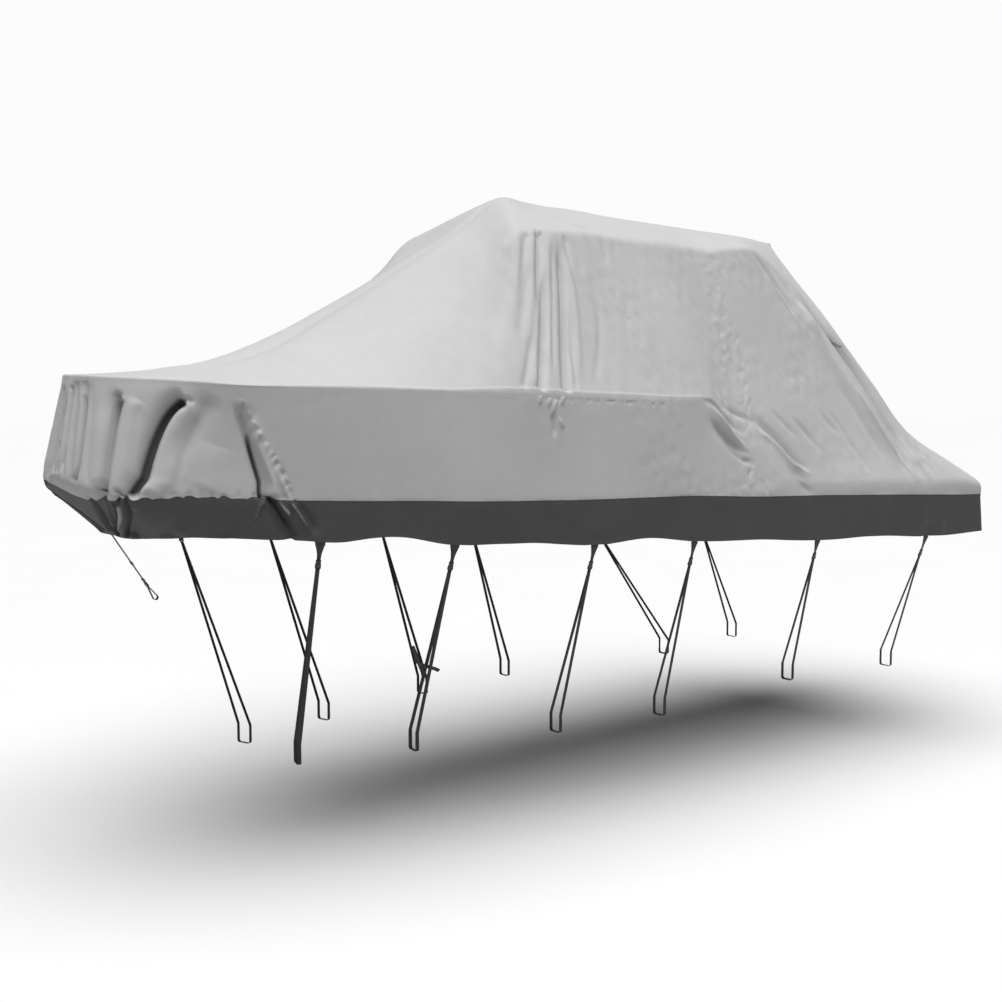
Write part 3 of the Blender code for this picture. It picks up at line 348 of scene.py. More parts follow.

# %% [markdown]
# ## Main folds and fine creases
#
# Cloth that is pulled tight over hard edges falls into folds that start at a corner and
# die out on the slack. Simulation gives plausible folds, but not these folds, so each one
# is listed: a line through three places on the shell, how far it stands out or
# sinks in, how wide it is and how it leans. The same small function then lifts the cloth
# along its normal. Main folds come first, then fine creases read off the cloth itself.

# %% Main folds
# One row for each main fold.  Its line runs through three places, each a section
# number and a girth place.  out: how far its crown stands out, or in if below 0.
# head, tail: the parts of its length over which it grows and dies.
# lean: how much steeper its aft flank is than its forward one, up to 1.  It comes last,
# and most folds have none.
FOLD_COLUMNS = (
    "name", "side", "section_1", "girth_1", "section_2", "girth_2", "section_3", "girth_3",
    "out", "half_width", "head", "tail", "lean",
)
FOLDS = (
    ("stem_crease_a", PORT, 0.5, 2.04, 0.82, 2.7, 0.9, 4.1, -0.024, 0.03, 0.1, 0.1),
    ("stem_crease_b", STARBOARD, 0.55, 2.1, 0.7, 2.8, 0.85, 4.1, -0.02, 0.035, 0.1, 0.1),
    ("stem_crease_c", PORT, 0.92, 2.03, 1.2, 2.46, 1.1, 4.12, -0.02, 0.026, 0.1, 0.1, 0.3),
    ("bow_pocket", PORT, 2.13, 2.19, 2.02, 2.66, 1.94, 4.06, -0.046, 0.036, 0.08, 0.02, 0.2),
    ("bow_pocket_lip", PORT, 2.44, 2.2, 2.34, 2.66, 2.26, 3.9, 0.012, 0.05, 0.2, 0.1),
    ("bow_deep_fold", PORT, 3.21, 2.21, 2.68, 2.73, 2.46, 4.04, -0.085, 0.042, 0.08, 0.02, 0.55),
    ("bow_deep_lip", PORT, 3.42, 2.24, 2.92, 2.7, 2.64, 3.9, 0.022, 0.055, 0.15, 0.1),
    ("bow_shallow_fold", PORT, 3.66, 2.11, 3.18, 2.5, 2.82, 2.96, -0.026, 0.06, 0.2, 0.45),
    ("bow_seam_trough", PORT, 3.92, 2.18, 3.8, 2.7, 3.71, 4.02, -0.04, 0.036, 0.3, 0.02, -0.3),
    ("bow_seam_ridge", PORT, 4.02, 2.3, 3.95, 2.75, 3.86, 3.85, 0.016, 0.032, 0.3, 0.1),
    ("skirt_pleat_a", PORT, 1.9, 3.9, 1.5, 4.42, 0.5, 4.96, -0.04, 0.036, 0.1, 0.05, 0.2),
    ("skirt_pleat_b", PORT, 2.26, 4.2, 1.92, 4.6, 1.42, 4.96, -0.024, 0.03, 0.2, 0.05),
    ("skirt_pleat_c", PORT, 3.78, 3.74, 3.82, 4.42, 3.97, 5.0, -0.042, 0.034, 0.1, 0.05, 0.2),
    ("bow_pocket_far", STARBOARD, 1.8, 2.2, 1.75, 2.8, 1.6, 4.1, -0.04, 0.04, 0.1, 0.05, 0.3),
    ("bow_fold_far", STARBOARD, 2.9, 2.15, 2.6, 2.7, 2.3, 4.2, -0.064, 0.045, 0.1, 0.05, 0.5),
    ("bow_seam_trough_far", STARBOARD, 3.9, 2.2, 3.7, 2.7, 3.6, 4.6, -0.038, 0.04, 0.2, 0.1),
    ("roof_pleat_a", PORT, 9.22, 1.02, 9.06, 1.24, 8.86, 1.7, -0.014, 0.026, 0.03, 0.6),
    ("roof_pleat_b", PORT, 9.72, 1.0, 9.62, 1.22, 9.52, 1.6, -0.03, 0.024, 0.02, 0.5),
    ("roof_pleat_c", PORT, 9.8, 1.24, 9.72, 1.56, 9.52, 1.99, -0.034, 0.03, 0.35, 0.02),
    ("roof_pleat_d", PORT, 10.32, 1.05, 10.16, 1.56, 10.08, 1.99, -0.036, 0.028, 0.2, 0.02),
    ("roof_pleat_e", STARBOARD, 9.3, 1.03, 9.25, 1.5, 9.15, 1.97, -0.032, 0.035, 0.15, 0.05),
    ("roof_pleat_f", STARBOARD, 9.95, 1.02, 9.9, 1.4, 9.8, 1.9, -0.026, 0.035, 0.1, 0.3),
    ("rail_end_crease", PORT, 11.86, 2.18, 12.42, 2.34, 13.12, 2.22, -0.036, 0.04, 0.15, 0.25, 0.4),
    ("rail_end_crease_far", STARBOARD, 12.0, 2.16, 12.6, 2.24, 13.2, 2.2,
     -0.032, 0.045, 0.15, 0.2, 0.4),
    ("quarter_trough", PORT, 13.18, 1.84, 13.7, 1.9, 14.08, 2.1, -0.036, 0.04, 0.15, 0.25),
    ("quarter_ridge", PORT, 13.16, 1.93, 13.76, 1.97, 13.98, 2.58, 0.024, 0.035, 0.2, 0.3),
    ("quarter_trough_far", STARBOARD, 13.4, 1.75, 13.9, 1.9, 14.6, 2.3, -0.03, 0.06, 0.2, 0.2),
    ("hip_trough", PORT, 16.25, 0.98, 16.28, 1.42, 15.4, 2.48, -0.055, 0.065, 0.1, 0.3),
    ("hip_ridge", PORT, 15.45, 1.16, 15.28, 1.62, 14.92, 2.6, 0.03, 0.07, 0.2, 0.2),
    ("hip_trough_far", STARBOARD, 16.1, 1.05, 16.1, 1.5, 15.5, 2.4, -0.05, 0.07, 0.1, 0.3),
    ("roof_corner_crease", PORT, 15.14, 1.0, 15.16, 1.14, 14.94, 1.4, -0.02, 0.035, 0.1, 0.4, 0.3),
    ("stern_slope_trough", STARBOARD, 18.6, 1.1, 18.7, 1.6, 18.9, 2.3, -0.036, 0.1, 0.2, 0.3),
    ("stern_slope_trough_b", PORT, 18.3, 1.05, 18.5, 1.55, 18.6, 2.4, -0.034, 0.09, 0.2, 0.3),
)
FOLD_STEPS = 24  # straight lengths in a fold's line
print("main folds:", len(FOLDS))

# %% [markdown]
# The creases between the main folds are read off the cloth a region at a time: round the
# stem, in the bow's pockets, down the skirt, under the roof's edge, along the rail, and
# on the quarter and the hip aft of it. They take the same columns as the main folds.

# %% Fine creases of the bow
BOW_CREASES = (
    ("stem_pinch_a", STARBOARD, 0.27, 2.16, 0.17, 2.66, 0.11, 3.1, -0.008, 0.016, 0.2, 0.4),
    ("stem_pinch_b", STARBOARD, 0.15, 2.8, 0.19, 3.0, 0.25, 3.6, -0.01, 0.014, 0.3, 0.2),
    ("stem_pinch_c", PORT, 0.55, 2.8, 0.36, 3.2, 0.16, 3.9, -0.01, 0.016, 0.3, 0.2),
    ("stem_ridge", PORT, 0.7, 2.06, 0.98, 2.6, 1.0, 3.9, 0.008, 0.022, 0.2, 0.2),
    ("stem_line", PORT, 1.22, 2.05, 1.46, 2.56, 1.56, 3.9, -0.007, 0.022, 0.2, 0.2),
    ("bow_bulge_a", PORT, 1.8, 2.3, 1.9, 2.8, 1.9, 3.6, 0.012, 0.07, 0.3, 0.3),
    ("pocket_slot", PORT, 2.07, 2.22, 1.97, 2.8, 1.85, 4.12, -0.02, 0.021, 0.03, 0.02),
    ("pocket_tip", PORT, 2.0, 2.21, 2.08, 2.16, 2.16, 2.21, -0.016, 0.012, 0.2, 0.2),
    ("pocket_line", PORT, 2.5, 2.22, 2.42, 2.6, 2.34, 3.2, -0.009, 0.024, 0.2, 0.5),
    ("deep_slot", PORT, 3.22, 2.22, 2.64, 2.7, 2.38, 4.05, -0.04, 0.022, 0.03, 0.01),
    ("deep_tip", PORT, 3.02, 2.24, 3.18, 2.18, 3.32, 2.23, -0.018, 0.014, 0.2, 0.2),
    ("deep_side_a", PORT, 3.46, 2.3, 3.1, 2.66, 2.8, 3.4, -0.009, 0.028, 0.3, 0.4),
    ("deep_side_b", PORT, 3.3, 2.46, 2.98, 2.8, 2.76, 3.7, 0.008, 0.028, 0.3, 0.3),
    ("bow_belly", PORT, 3.4, 2.6, 3.3, 2.9, 3.2, 3.7, 0.014, 0.09, 0.4, 0.3),
    ("trough_slot", PORT, 3.87, 2.5, 3.77, 2.9, 3.7, 4.04, -0.04, 0.012, 0.4, 0.02),
    ("stem_slot_a", PORT, 0.2, 2.2, 0.4, 2.5, 0.58, 4.1, -0.024, 0.013, 0.15, 0.1),
    ("stem_slot_b", PORT, 1.0, 2.2, 1.2, 2.8, 0.94, 4.2, -0.024, 0.011, 0.15, 0.1),
    ("stem_slot_c", STARBOARD, 0.22, 2.4, 0.3, 2.8, 0.42, 3.95, -0.022, 0.01, 0.3, 0.1),
    ("stem_fold_d", PORT, 0.04, 2.16, 0.02, 2.8, 0.1, 3.95, -0.014, 0.016, 0.3, 0.1),
    ("seam_fold_b", PORT, 3.98, 2.84, 3.94, 3.3, 3.97, 4.04, -0.013, 0.016, 0.3, 0.1),
    ("seam_fold_c", PORT, 4.1, 2.76, 4.05, 3.1, 4.05, 3.96, -0.012, 0.018, 0.3, 0.1),
    ("seam_ridge_b", PORT, 4.04, 2.8, 4.0, 3.2, 4.01, 3.96, 0.009, 0.014, 0.3, 0.1),
)
print("bow creases placed:", len(BOW_CREASES))

# %% Fine creases of the skirt
SKIRT_CREASES = (
    ("skirt_hook_slot", PORT, 2.15, 3.6, 2.25, 3.95, 2.0, 4.22, -0.028, 0.01, 0.1, 0.2),
    ("skirt_slot_a", PORT, 1.35, 4.1, 1.0, 4.5, 0.05, 4.97, -0.044, 0.022, 0.03, 0.03),
    ("skirt_slot_b", PORT, 2.0, 4.14, 1.43, 4.6, 0.5, 4.98, -0.04, 0.015, 0.03, 0.03),
    ("skirt_slot_c", PORT, 2.28, 4.06, 1.92, 4.5, 1.12, 4.98, -0.04, 0.014, 0.03, 0.03),
    ("skirt_rib_a", PORT, 1.72, 4.16, 1.2, 4.56, 0.26, 4.94, 0.016, 0.014, 0.1, 0.2),
    ("skirt_rib_b", PORT, 2.14, 4.1, 1.68, 4.54, 0.82, 4.94, 0.014, 0.012, 0.1, 0.2),
    ("skirt_drape_a", PORT, 3.3, 4.1, 2.7, 4.5, 2.2, 4.98, -0.012, 0.04, 0.3, 0.1),
    ("skirt_drape_b", PORT, 3.7, 4.16, 3.3, 4.6, 3.06, 4.98, -0.012, 0.036, 0.3, 0.1),
    ("skirt_drape_c", PORT, 2.9, 4.3, 2.6, 4.6, 2.5, 4.98, 0.01, 0.03, 0.3, 0.2),
    ("skirt_pinch_a", PORT, 3.86, 4.04, 3.92, 4.22, 3.99, 4.42, 0.022, 0.009, 0.1, 0.3),
    ("skirt_pinch_b", PORT, 4.0, 4.02, 4.12, 4.42, 4.24, 4.86, 0.022, 0.009, 0.1, 0.3),
    ("skirt_pinch_c", PORT, 3.72, 4.08, 3.62, 4.32, 3.52, 4.58, 0.02, 0.008, 0.1, 0.3),
    ("skirt_pinch_d", PORT, 3.72, 4.04, 3.74, 4.2, 3.76, 4.34, 0.018, 0.008, 0.1, 0.3),
    ("skirt_slot_e", PORT, 3.8, 3.82, 3.86, 4.3, 3.98, 4.9, -0.034, 0.018, 0.05, 0.3),
    ("skirt_fold_d", PORT, 4.08, 4.02, 4.22, 4.46, 4.38, 4.96, -0.016, 0.022, 0.2, 0.2),
    ("trough_ridge", PORT, 3.93, 2.4, 3.9, 3.0, 3.78, 3.96, 0.012, 0.014, 0.3, 0.1),
)
print("skirt creases placed:", len(SKIRT_CREASES))

# %% Fine creases under the roof's edge
ROOF_CREASES = (
    ("pleat_f", PORT, 10.55, 1.02, 10.45, 1.2, 10.44, 1.4, -0.012, 0.024, 0.1, 0.6),
    ("pleat_g", PORT, 9.34, 1.2, 9.12, 1.44, 8.88, 1.76, -0.013, 0.034, 0.3, 0.4),
    ("pleat_h", PORT, 9.36, 1.6, 9.18, 1.8, 8.98, 1.99, -0.012, 0.024, 0.4, 0.1),
    ("pleat_i", PORT, 10.06, 1.06, 9.98, 1.44, 9.86, 1.96, -0.01, 0.02, 0.3, 0.2),
    ("pleat_j", PORT, 10.26, 1.5, 10.22, 1.74, 10.2, 1.98, -0.01, 0.018, 0.4, 0.1),
    ("pleat_k", PORT, 8.6, 1.06, 8.44, 1.34, 8.18, 1.7, -0.01, 0.05, 0.2, 0.5),
    ("pleat_l", PORT, 10.74, 1.3, 10.56, 1.6, 10.34, 1.97, -0.008, 0.03, 0.4, 0.2),
    ("pleat_ridge_a", PORT, 9.5, 1.03, 9.38, 1.3, 9.2, 1.8, 0.01, 0.03, 0.1, 0.5),
    ("pleat_ridge_b", PORT, 10.02, 1.02, 9.9, 1.4, 9.76, 1.9, 0.01, 0.026, 0.1, 0.2),
    ("pleat_ridge_c", PORT, 9.6, 1.4, 9.5, 1.7, 9.36, 1.99, 0.009, 0.024, 0.3, 0.1),
    ("pleat_ridge_d", PORT, 10.46, 1.1, 10.34, 1.5, 10.24, 1.92, 0.009, 0.026, 0.2, 0.2),
    ("roof_dimple", PORT, 11.1, 0.7, 11.26, 0.74, 11.42, 0.8, -0.034, 0.014, 0.4, 0.4),
    ("roof_edge_pinch", PORT, 11.34, 0.98, 11.3, 1.1, 11.18, 1.2, -0.01, 0.016, 0.3, 0.4),
    ("roof_edge_pinch_b", PORT, 11.52, 0.98, 11.5, 1.06, 11.4, 1.14, -0.008, 0.014, 0.3, 0.4),
    ("seam_line", PORT, 11.24, 1.4, 11.08, 1.72, 11.02, 1.98, 0.006, 0.01, 0.3, 0.2),
)
print("roof creases placed:", len(ROOF_CREASES))

# %% Fine creases along the rail
RAIL_CREASES = (
    ("rail_tuck_a", PORT, 9.5, 2.03, 9.46, 2.08, 9.42, 2.13, 0.016, 0.009, 0.2, 0.4),
    ("rail_tuck_b", PORT, 9.74, 2.05, 9.7, 2.1, 9.64, 2.15, 0.016, 0.009, 0.2, 0.4),
    ("rail_tuck_c", PORT, 9.9, 2.06, 9.8, 2.15, 9.72, 2.26, 0.016, 0.009, 0.2, 0.4),
    ("rail_tuck_d", PORT, 10.04, 2.03, 10.0, 2.08, 9.96, 2.13, 0.016, 0.009, 0.2, 0.4),
    ("rail_tuck_e", PORT, 9.86, 2.26, 9.9, 2.33, 9.93, 2.37, 0.016, 0.009, 0.3, 0.3),
    ("rail_tuck_f", PORT, 9.76, 2.2, 9.74, 2.34, 9.7, 2.5, -0.018, 0.018, 0.3, 0.3),
    ("rail_fan_a", PORT, 12.36, 1.96, 12.9, 1.87, 13.36, 1.86, -0.015, 0.02, 0.3, 0.4),
    ("rail_fan_b", PORT, 11.72, 2.01, 12.36, 2.01, 13.12, 1.92, -0.015, 0.022, 0.3, 0.4),
    ("rail_fan_c", PORT, 11.9, 2.08, 12.5, 2.14, 13.1, 2.1, 0.016, 0.022, 0.3, 0.4),
    ("rail_fan_d", PORT, 12.3, 2.46, 12.8, 2.5, 13.2, 2.4, -0.013, 0.02, 0.3, 0.4),
)
print("rail creases placed:", len(RAIL_CREASES))

# %% Fine creases of the quarter and the hip
AFT_CREASES = (
    ("quarter_ridge_b", PORT, 13.2, 1.925, 13.76, 1.965, 14.02, 2.4, 0.018, 0.013, 0.2, 0.3),
    ("quarter_line_a", PORT, 14.04, 1.76, 14.18, 1.84, 14.28, 1.96, -0.014, 0.018, 0.3, 0.4),
    ("quarter_line_b", PORT, 14.44, 1.75, 14.48, 1.82, 14.54, 1.9, -0.012, 0.018, 0.3, 0.4),
    ("quarter_line_c", PORT, 13.66, 1.74, 13.9, 1.8, 14.06, 1.88, -0.012, 0.016, 0.3, 0.4),
    ("quarter_pinch", PORT, 13.72, 2.82, 13.78, 3.3, 13.86, 4.0, -0.016, 0.018, 0.3, 0.1, 0.3),
    ("quarter_pinch_b", PORT, 13.2, 2.8, 13.22, 3.3, 13.26, 3.94, -0.01, 0.016, 0.3, 0.1),
    ("corner_line", PORT, 15.1, 1.08, 15.02, 1.24, 14.88, 1.44, 0.014, 0.018, 0.3, 0.5),
    ("corner_fold", PORT, 15.6, 1.06, 15.6, 1.18, 15.44, 1.38, -0.02, 0.032, 0.2, 0.4, 0.3),
    ("corner_shine", PORT, 15.66, 1.2, 15.48, 1.34, 15.3, 1.52, 0.028, 0.034, 0.4, 0.5),
    ("hip_trough_line", PORT, 16.25, 1.04, 16.28, 1.42, 15.4, 2.48, -0.026, 0.034, 0.2, 0.3),
    ("hip_line_a", PORT, 15.9, 1.2, 15.8, 1.6, 15.1, 2.4, 0.022, 0.024, 0.3, 0.2),
    ("hip_line_b", PORT, 15.62, 1.56, 15.3, 1.86, 14.84, 2.9, -0.016, 0.02, 0.3, 0.1),
    ("hip_line_c", PORT, 15.4, 1.76, 15.16, 1.98, 14.88, 3.4, 0.016, 0.016, 0.3, 0.1),
    ("hip_line_d", PORT, 16.14, 1.98, 15.42, 2.32, 14.98, 3.22, -0.02, 0.015, 0.3, 0.1),
    ("hip_line_e", PORT, 16.3, 2.02, 15.6, 2.34, 15.12, 3.1, 0.02, 0.014, 0.3, 0.1),
    ("hip_line_f", PORT, 16.56, 2.06, 15.84, 2.4, 15.32, 2.96, -0.02, 0.014, 0.3, 0.1),
    ("hip_line_g", PORT, 16.34, 2.22, 15.92, 2.54, 15.48, 2.98, -0.014, 0.013, 0.3, 0.2),
    ("hip_line_h", PORT, 14.9, 1.66, 14.9, 1.84, 14.7, 2.4, -0.008, 0.03, 0.4, 0.3),
    ("hip_line_i", PORT, 14.5, 1.8, 14.58, 1.95, 14.52, 2.7, -0.008, 0.024, 0.4, 0.3),
)
print("aft creases placed:", len(AFT_CREASES))

# %% All fine creases
CREASES = BOW_CREASES + SKIRT_CREASES + ROOF_CREASES + RAIL_CREASES + AFT_CREASES
# These have steep walls and a flat floor, like a slot.  The others are rounded.
SLOTS = [row[0] for row in CREASES if "_slot" in row[0]]
SLOT_POWER = 4
print("fine creases:", len(CREASES), "of which slots:", len(SLOTS))

# %% [markdown]
# Each point of the cloth finds the nearest place on a fold's line. The fold lifts it by a
# bell curve of its distance from there, and eases in and out at the line's two ends.

# %% How a fold lifts the cloth
FOLD_REACH = 3  # half widths, past which a fold isn't felt


def fold_line(fold):
    """A fold's line as a row of points on the shell before its folds."""
    t = np.linspace(0, 1, FOLD_STEPS + 1)
    weights = ((1 - t) * (1 - 2 * t), 4 * t * (1 - t), t * (2 * t - 1))
    section = sum(w * fold["section_%d" % (k + 1)] for k, w in enumerate(weights))
    girth = sum(w * fold["girth_%d" % (k + 1)] for k, w in enumerate(weights))
    return on_side(half_shell(section, girth), fold["side"])


def beside_line(points, line):
    """Way from the nearest point of a line, that part's direction, and how far along it lies."""
    run = np.diff(line, axis=0)
    away = points[:, None, :] - line[None, :-1, :]
    part = np.clip((away * run).sum(2) / (run**2).sum(1), 0, 1)
    away -= part[:, :, None] * run
    nearest = np.linalg.norm(away, axis=2).argmin(axis=1)
    every = np.arange(len(points))
    along = (nearest + part[every, nearest]) / len(run)
    return away[every, nearest], run[nearest], along


def smooth_step(value):
    value = np.clip(value, 0, 1)
    return value * value * (3 - 2 * value)


def fold_lift(points, out, fold):
    """How far a fold lifts each point of the shell along its outward normal."""
    line = fold["line"]
    reach = FOLD_REACH * fold["half_width"]
    low, high = line.min(axis=0) - reach, line.max(axis=0) + reach
    near = ((points > low) & (points < high)).all(axis=1)
    lift = np.zeros(len(points))
    if near.any():
        away, run, along = beside_line(points[near], line)
        aft = np.cross(run, out[near])
        aft *= np.sign(aft[:, :1] + 1e-9)
        flank = 1 - fold.get("lean", 0.0) * np.sign((away * aft).sum(axis=1))
        distance = np.linalg.norm(away, axis=1) / (fold["half_width"] * flank)
        ease = smooth_step(along / fold["head"]) * smooth_step((1 - along) / fold["tail"])
        lift[near] = fold["out"] * ease * np.exp(-(distance ** fold.get("power", 2)))
    return lift


deepest = min(FOLDS, key=lambda row: row[FOLD_COLUMNS.index("out")])
print("deepest fold:", deepest[0], "%.3f m" % -deepest[FOLD_COLUMNS.index("out")])

# %% [markdown]
# ## Seam puckers
#
# Thread that is sewn a little too tight, or two edges of unlike length, leave rows of
# short puckers beside a seam. They are too many to place one by one, so a loop sets them
# along the seam, with uneven pitch, length, depth and slant from a seeded generator.

# %% Rows of puckers
# One row for each stretch of seam.  reach: their length; slant: how far they lean
# along the seam, in degrees; way: the side of the seam that they lie on.
PUCKER_COLUMNS = (
    "side", "section_1", "girth_1", "section_2", "girth_2",
    "reach", "pitch", "out", "half_width", "slant", "way",
)
PUCKERS = (
    (PORT, 3.99, 2.09, 4.1, 2.9, 0.07, 0.05, 0.013, 0.0105, 35, 1),
    (PORT, 3.99, 2.09, 4.1, 2.9, 0.055, 0.062, -0.011, 0.011, 35, 1),
    (PORT, 3.97, 2.2, 4.02, 3.6, 0.04, 0.06, 0.005, 0.01, -20, -1),
    (PORT, 4.1, 2.9, 4.08, 3.98, 0.055, 0.052, 0.011, 0.0105, 30, 1),
    (PORT, 4.1, 2.9, 4.08, 3.98, 0.045, 0.07, -0.009, 0.011, 30, 1),
    (PORT, 2.45, 4.0, 3.7, 4.0, 0.055, 0.07, -0.011, 0.016, 8, -1),
    (PORT, 2.45, 4.0, 3.7, 4.0, 0.05, 0.08, -0.009, 0.015, -8, 1),
    (PORT, 0.3, 4.0, 2.4, 4.0, 0.08, 0.055, -0.008, 0.011, 5, -1),
    (PORT, 4.2, 4.0, 12.9, 4.0, 0.035, 0.09, -0.0022, 0.012, 10, -1),
    (PORT, 4.2, 4.0, 12.9, 4.0, 0.03, 0.11, -0.0025, 0.012, -10, 1),
    (PORT, 13.05, 4.0, 19.8, 4.0, 0.04, 0.1, -0.003, 0.012, 10, -1),
    (PORT, 13.05, 1.0, 13.1, 1.5, 0.13, 0.046, 0.0034, 0.013, 35, 1),
    (PORT, 13.05, 1.0, 13.1, 1.5, 0.13, 0.052, -0.0038, 0.014, -30, -1),
    (PORT, 13.1, 1.5, 13.2, 1.86, 0.15, 0.052, 0.0036, 0.013, 40, 1),
    (PORT, 13.1, 1.5, 13.2, 1.86, 0.16, 0.06, -0.0038, 0.014, 40, 1),
    (PORT, 13.1, 1.5, 13.2, 1.86, 0.12, 0.056, 0.0036, 0.014, -35, -1),
    (PORT, 13.0, 2.3, 13.0, 3.96, 0.09, 0.048, -0.0048, 0.014, 30, 1),
    (PORT, 13.0, 2.3, 13.0, 3.96, 0.1, 0.052, -0.0044, 0.014, -25, -1),
    (PORT, 11.0, 0.3, 11.02, 1.0, 0.04, 0.06, -0.0022, 0.01, 15, 1),
    (PORT, 11.0, 1.02, 11.0, 2.0, 0.05, 0.06, -0.002, 0.011, 20, -1),
    (PORT, 11.0, 2.1, 11.0, 3.96, 0.05, 0.07, -0.003, 0.011, 20, -1),
    (PORT, 9.4, 2.05, 10.9, 2.05, 0.036, 0.05, -0.008, 0.009, 8, 1),
    (PORT, 4.3, 2.07, 8.7, 2.07, 0.03, 0.1, -0.0018, 0.012, 15, 1),
    (PORT, 12.98, 0.2, 13.02, 1.0, 0.05, 0.05, 0.0035, 0.009, 20, 1),
    (STARBOARD, 4.0, 2.09, 4.0, 3.96, 0.07, 0.044, -0.007, 0.0095, 30, 1),
    (STARBOARD, 0.3, 4.0, 3.9, 4.0, 0.06, 0.07, -0.009, 0.013, 5, -1),
    (STARBOARD, 4.2, 4.0, 12.9, 4.0, 0.035, 0.09, -0.0024, 0.012, 10, -1),
    (STARBOARD, 13.05, 4.0, 19.8, 4.0, 0.04, 0.09, -0.0032, 0.012, 10, -1),
    (STARBOARD, 13.0, 0.3, 13.0, 1.95, 0.08, 0.042, -0.0058, 0.0095, 30, 1),
    (STARBOARD, 13.0, 1.0, 13.0, 3.9, 0.07, 0.048, 0.0052, 0.009, -30, -1),
    (STARBOARD, 11.0, 0.3, 11.0, 3.9, 0.045, 0.07, -0.0024, 0.011, 18, -1),
    (STARBOARD, 8.6, 2.07, 10.9, 2.07, 0.055, 0.056, -0.0038, 0.009, 12, 1),
)
STRAY = 0.9  # at the aft seam puckers lie up to this much of their reach away
PUCKER_STEPS = 400  # places along a stretch of seam
PUCKER_START = 0.004  # each begins this far on the other side of its seam
PUCKER_SEED = 100
print("stretches of puckered seam:", len(PUCKERS))


# %% One row of puckers
def unit(vector):
    return vector / np.linalg.norm(vector)


def seam_points(section_1, girth_1, section_2, girth_2, side, steps):
    """Points and normals along a stretch of seam, spaced evenly in section and girth."""
    section = np.linspace(section_1, section_2, steps)
    girth = np.linspace(girth_1, girth_2, steps)
    return on_side(half_shell(section, girth), side), normals(section, girth, side)


def pucker_row(row, seed):
    """The short folds of one row of PUCKERS, each with its line, depth and half width."""
    stretch = dict(zip(PUCKER_COLUMNS, row))
    chance = np.random.default_rng(seed)
    ends = [stretch[name] for name in PUCKER_COLUMNS[1:5]]
    points, outs = seam_points(*ends, stretch["side"], PUCKER_STEPS)
    run = run_along(points)
    folds = []
    at = stretch["pitch"] * chance.uniform(0.2, 1.0)
    stray = STRAY if stretch["section_1"] > MID_SEAM and stretch["girth_1"] < SKIRT else 0.0
    while at < run[-1]:
        here = np.array([np.interp(at, run, points[:, k]) for k in range(3)])
        k = min(int(np.searchsorted(run, at)), len(points) - 2)
        tangent = unit(points[k + 1] - points[k - 1] if k > 0 else points[1] - points[0])
        across = unit(np.cross(outs[k], tangent)) * stretch["way"] * stretch["side"]
        lean = radians(stretch["slant"] * chance.uniform(0.5, 1.4))
        reach = stretch["reach"] * chance.uniform(0.45, 1.35)
        end = here + reach * (across * cos(lean) + tangent * sin(lean))
        depth = stretch["out"] * chance.uniform(0.35, 1.25)
        width = stretch["half_width"] * chance.uniform(0.75, 1.35)
        start = here + stray * reach * chance.uniform(-1.0, 1.0) * across
        line = np.linspace(start - PUCKER_START * across, start + end - here, 4)
        folds.append({"line": line, "out": depth, "half_width": width,
                      "head": 0.15, "tail": 0.75})
        at += stretch["pitch"] * chance.uniform(0.45, 1.65)
    return folds


print("puckers in the first row:", len(pucker_row(PUCKERS[0], PUCKER_SEED)))

# %% [markdown]
# The far side of the cover is cut the same and creases much the same, but never exactly.
# The near side's fine creases are repeated there a little moved and a little deeper or
# flatter.

# %% All folds of both sides
FAR_SEED = 5
FAR_SHIFT = 0.12  # most that a far crease moves along, in section places
FAR_DRIFT = 0.03  # and up or down, in girth places
SOFT_FROM = MID_SEAM  # aft of this section no fold begins or ends sharply
SOFT_END = 0.42  # it grows over this much of its length


def mirrored_creases():
    """The fine creases once more, for the far side."""
    chance = np.random.default_rng(FAR_SEED)
    rows = []
    for row in CREASES:
        fold = dict(zip(FOLD_COLUMNS, row))
        shift = chance.uniform(-FAR_SHIFT, FAR_SHIFT)
        fold["side"] = STARBOARD
        for k in (1, 2, 3):
            fold["section_%d" % k] = max(0.05, fold["section_%d" % k] + shift)
            drift = chance.uniform(-FAR_DRIFT, FAR_DRIFT)
            fold["girth_%d" % k] = float(np.clip(fold["girth_%d" % k] + drift, 0.6, 5.0))
        fold["out"] *= chance.uniform(0.5, 1.1)
        rows.append(fold)
    return rows


def all_folds():
    """Every fold and pucker of each side, with its line on the shell."""
    folds = {PORT: [], STARBOARD: []}
    placed = [dict(zip(FOLD_COLUMNS, row)) for row in FOLDS + CREASES]
    for fold in placed + mirrored_creases():
        if fold["section_1"] > SOFT_FROM:
            fold["head"] = max(fold["head"], SOFT_END)
            fold["tail"] = max(fold["tail"], SOFT_END)
        fold["line"] = fold_line(fold)
        fold["power"] = SLOT_POWER if fold["name"] in SLOTS else 2
        folds[fold["side"]].append(fold)
    for seed, row in enumerate(PUCKERS):
        folds[row[0]] += pucker_row(row, PUCKER_SEED + seed)
    return folds


FOLDS_BY_SIDE = all_folds()
MAIN_FOLDS = {row[0] for row in FOLDS}
print("folds and puckers:", {side: len(folds) for side, folds in FOLDS_BY_SIDE.items()})

# %% [markdown]
# ## Slack and crinkle
#
# Between its folds, coated cloth is never flat. It keeps broad slack waves, faint pleats
# where it is hung from the roof, and a crinkle where it was packed away. A few dozen sine
# waves in random directions make a smooth field that needs no noise texture and gives
# the same result each run.

# %% Slack in the cloth
WAVES = 14
# Each is a height and the size of its bumps, or their size along X, Y and Z.
BROAD_WAVES = (0.0060, 0.42)
HUNG_PLEATS = (0.0022, (0.045, 0.09, 0.60))
FINE_CRINKLE = (0.0015, 0.055)
COARSE_CRINKLE = (0.0014, 0.15)
SKIRT_WAVES = (0.0034, (0.14, 0.14, 0.8))


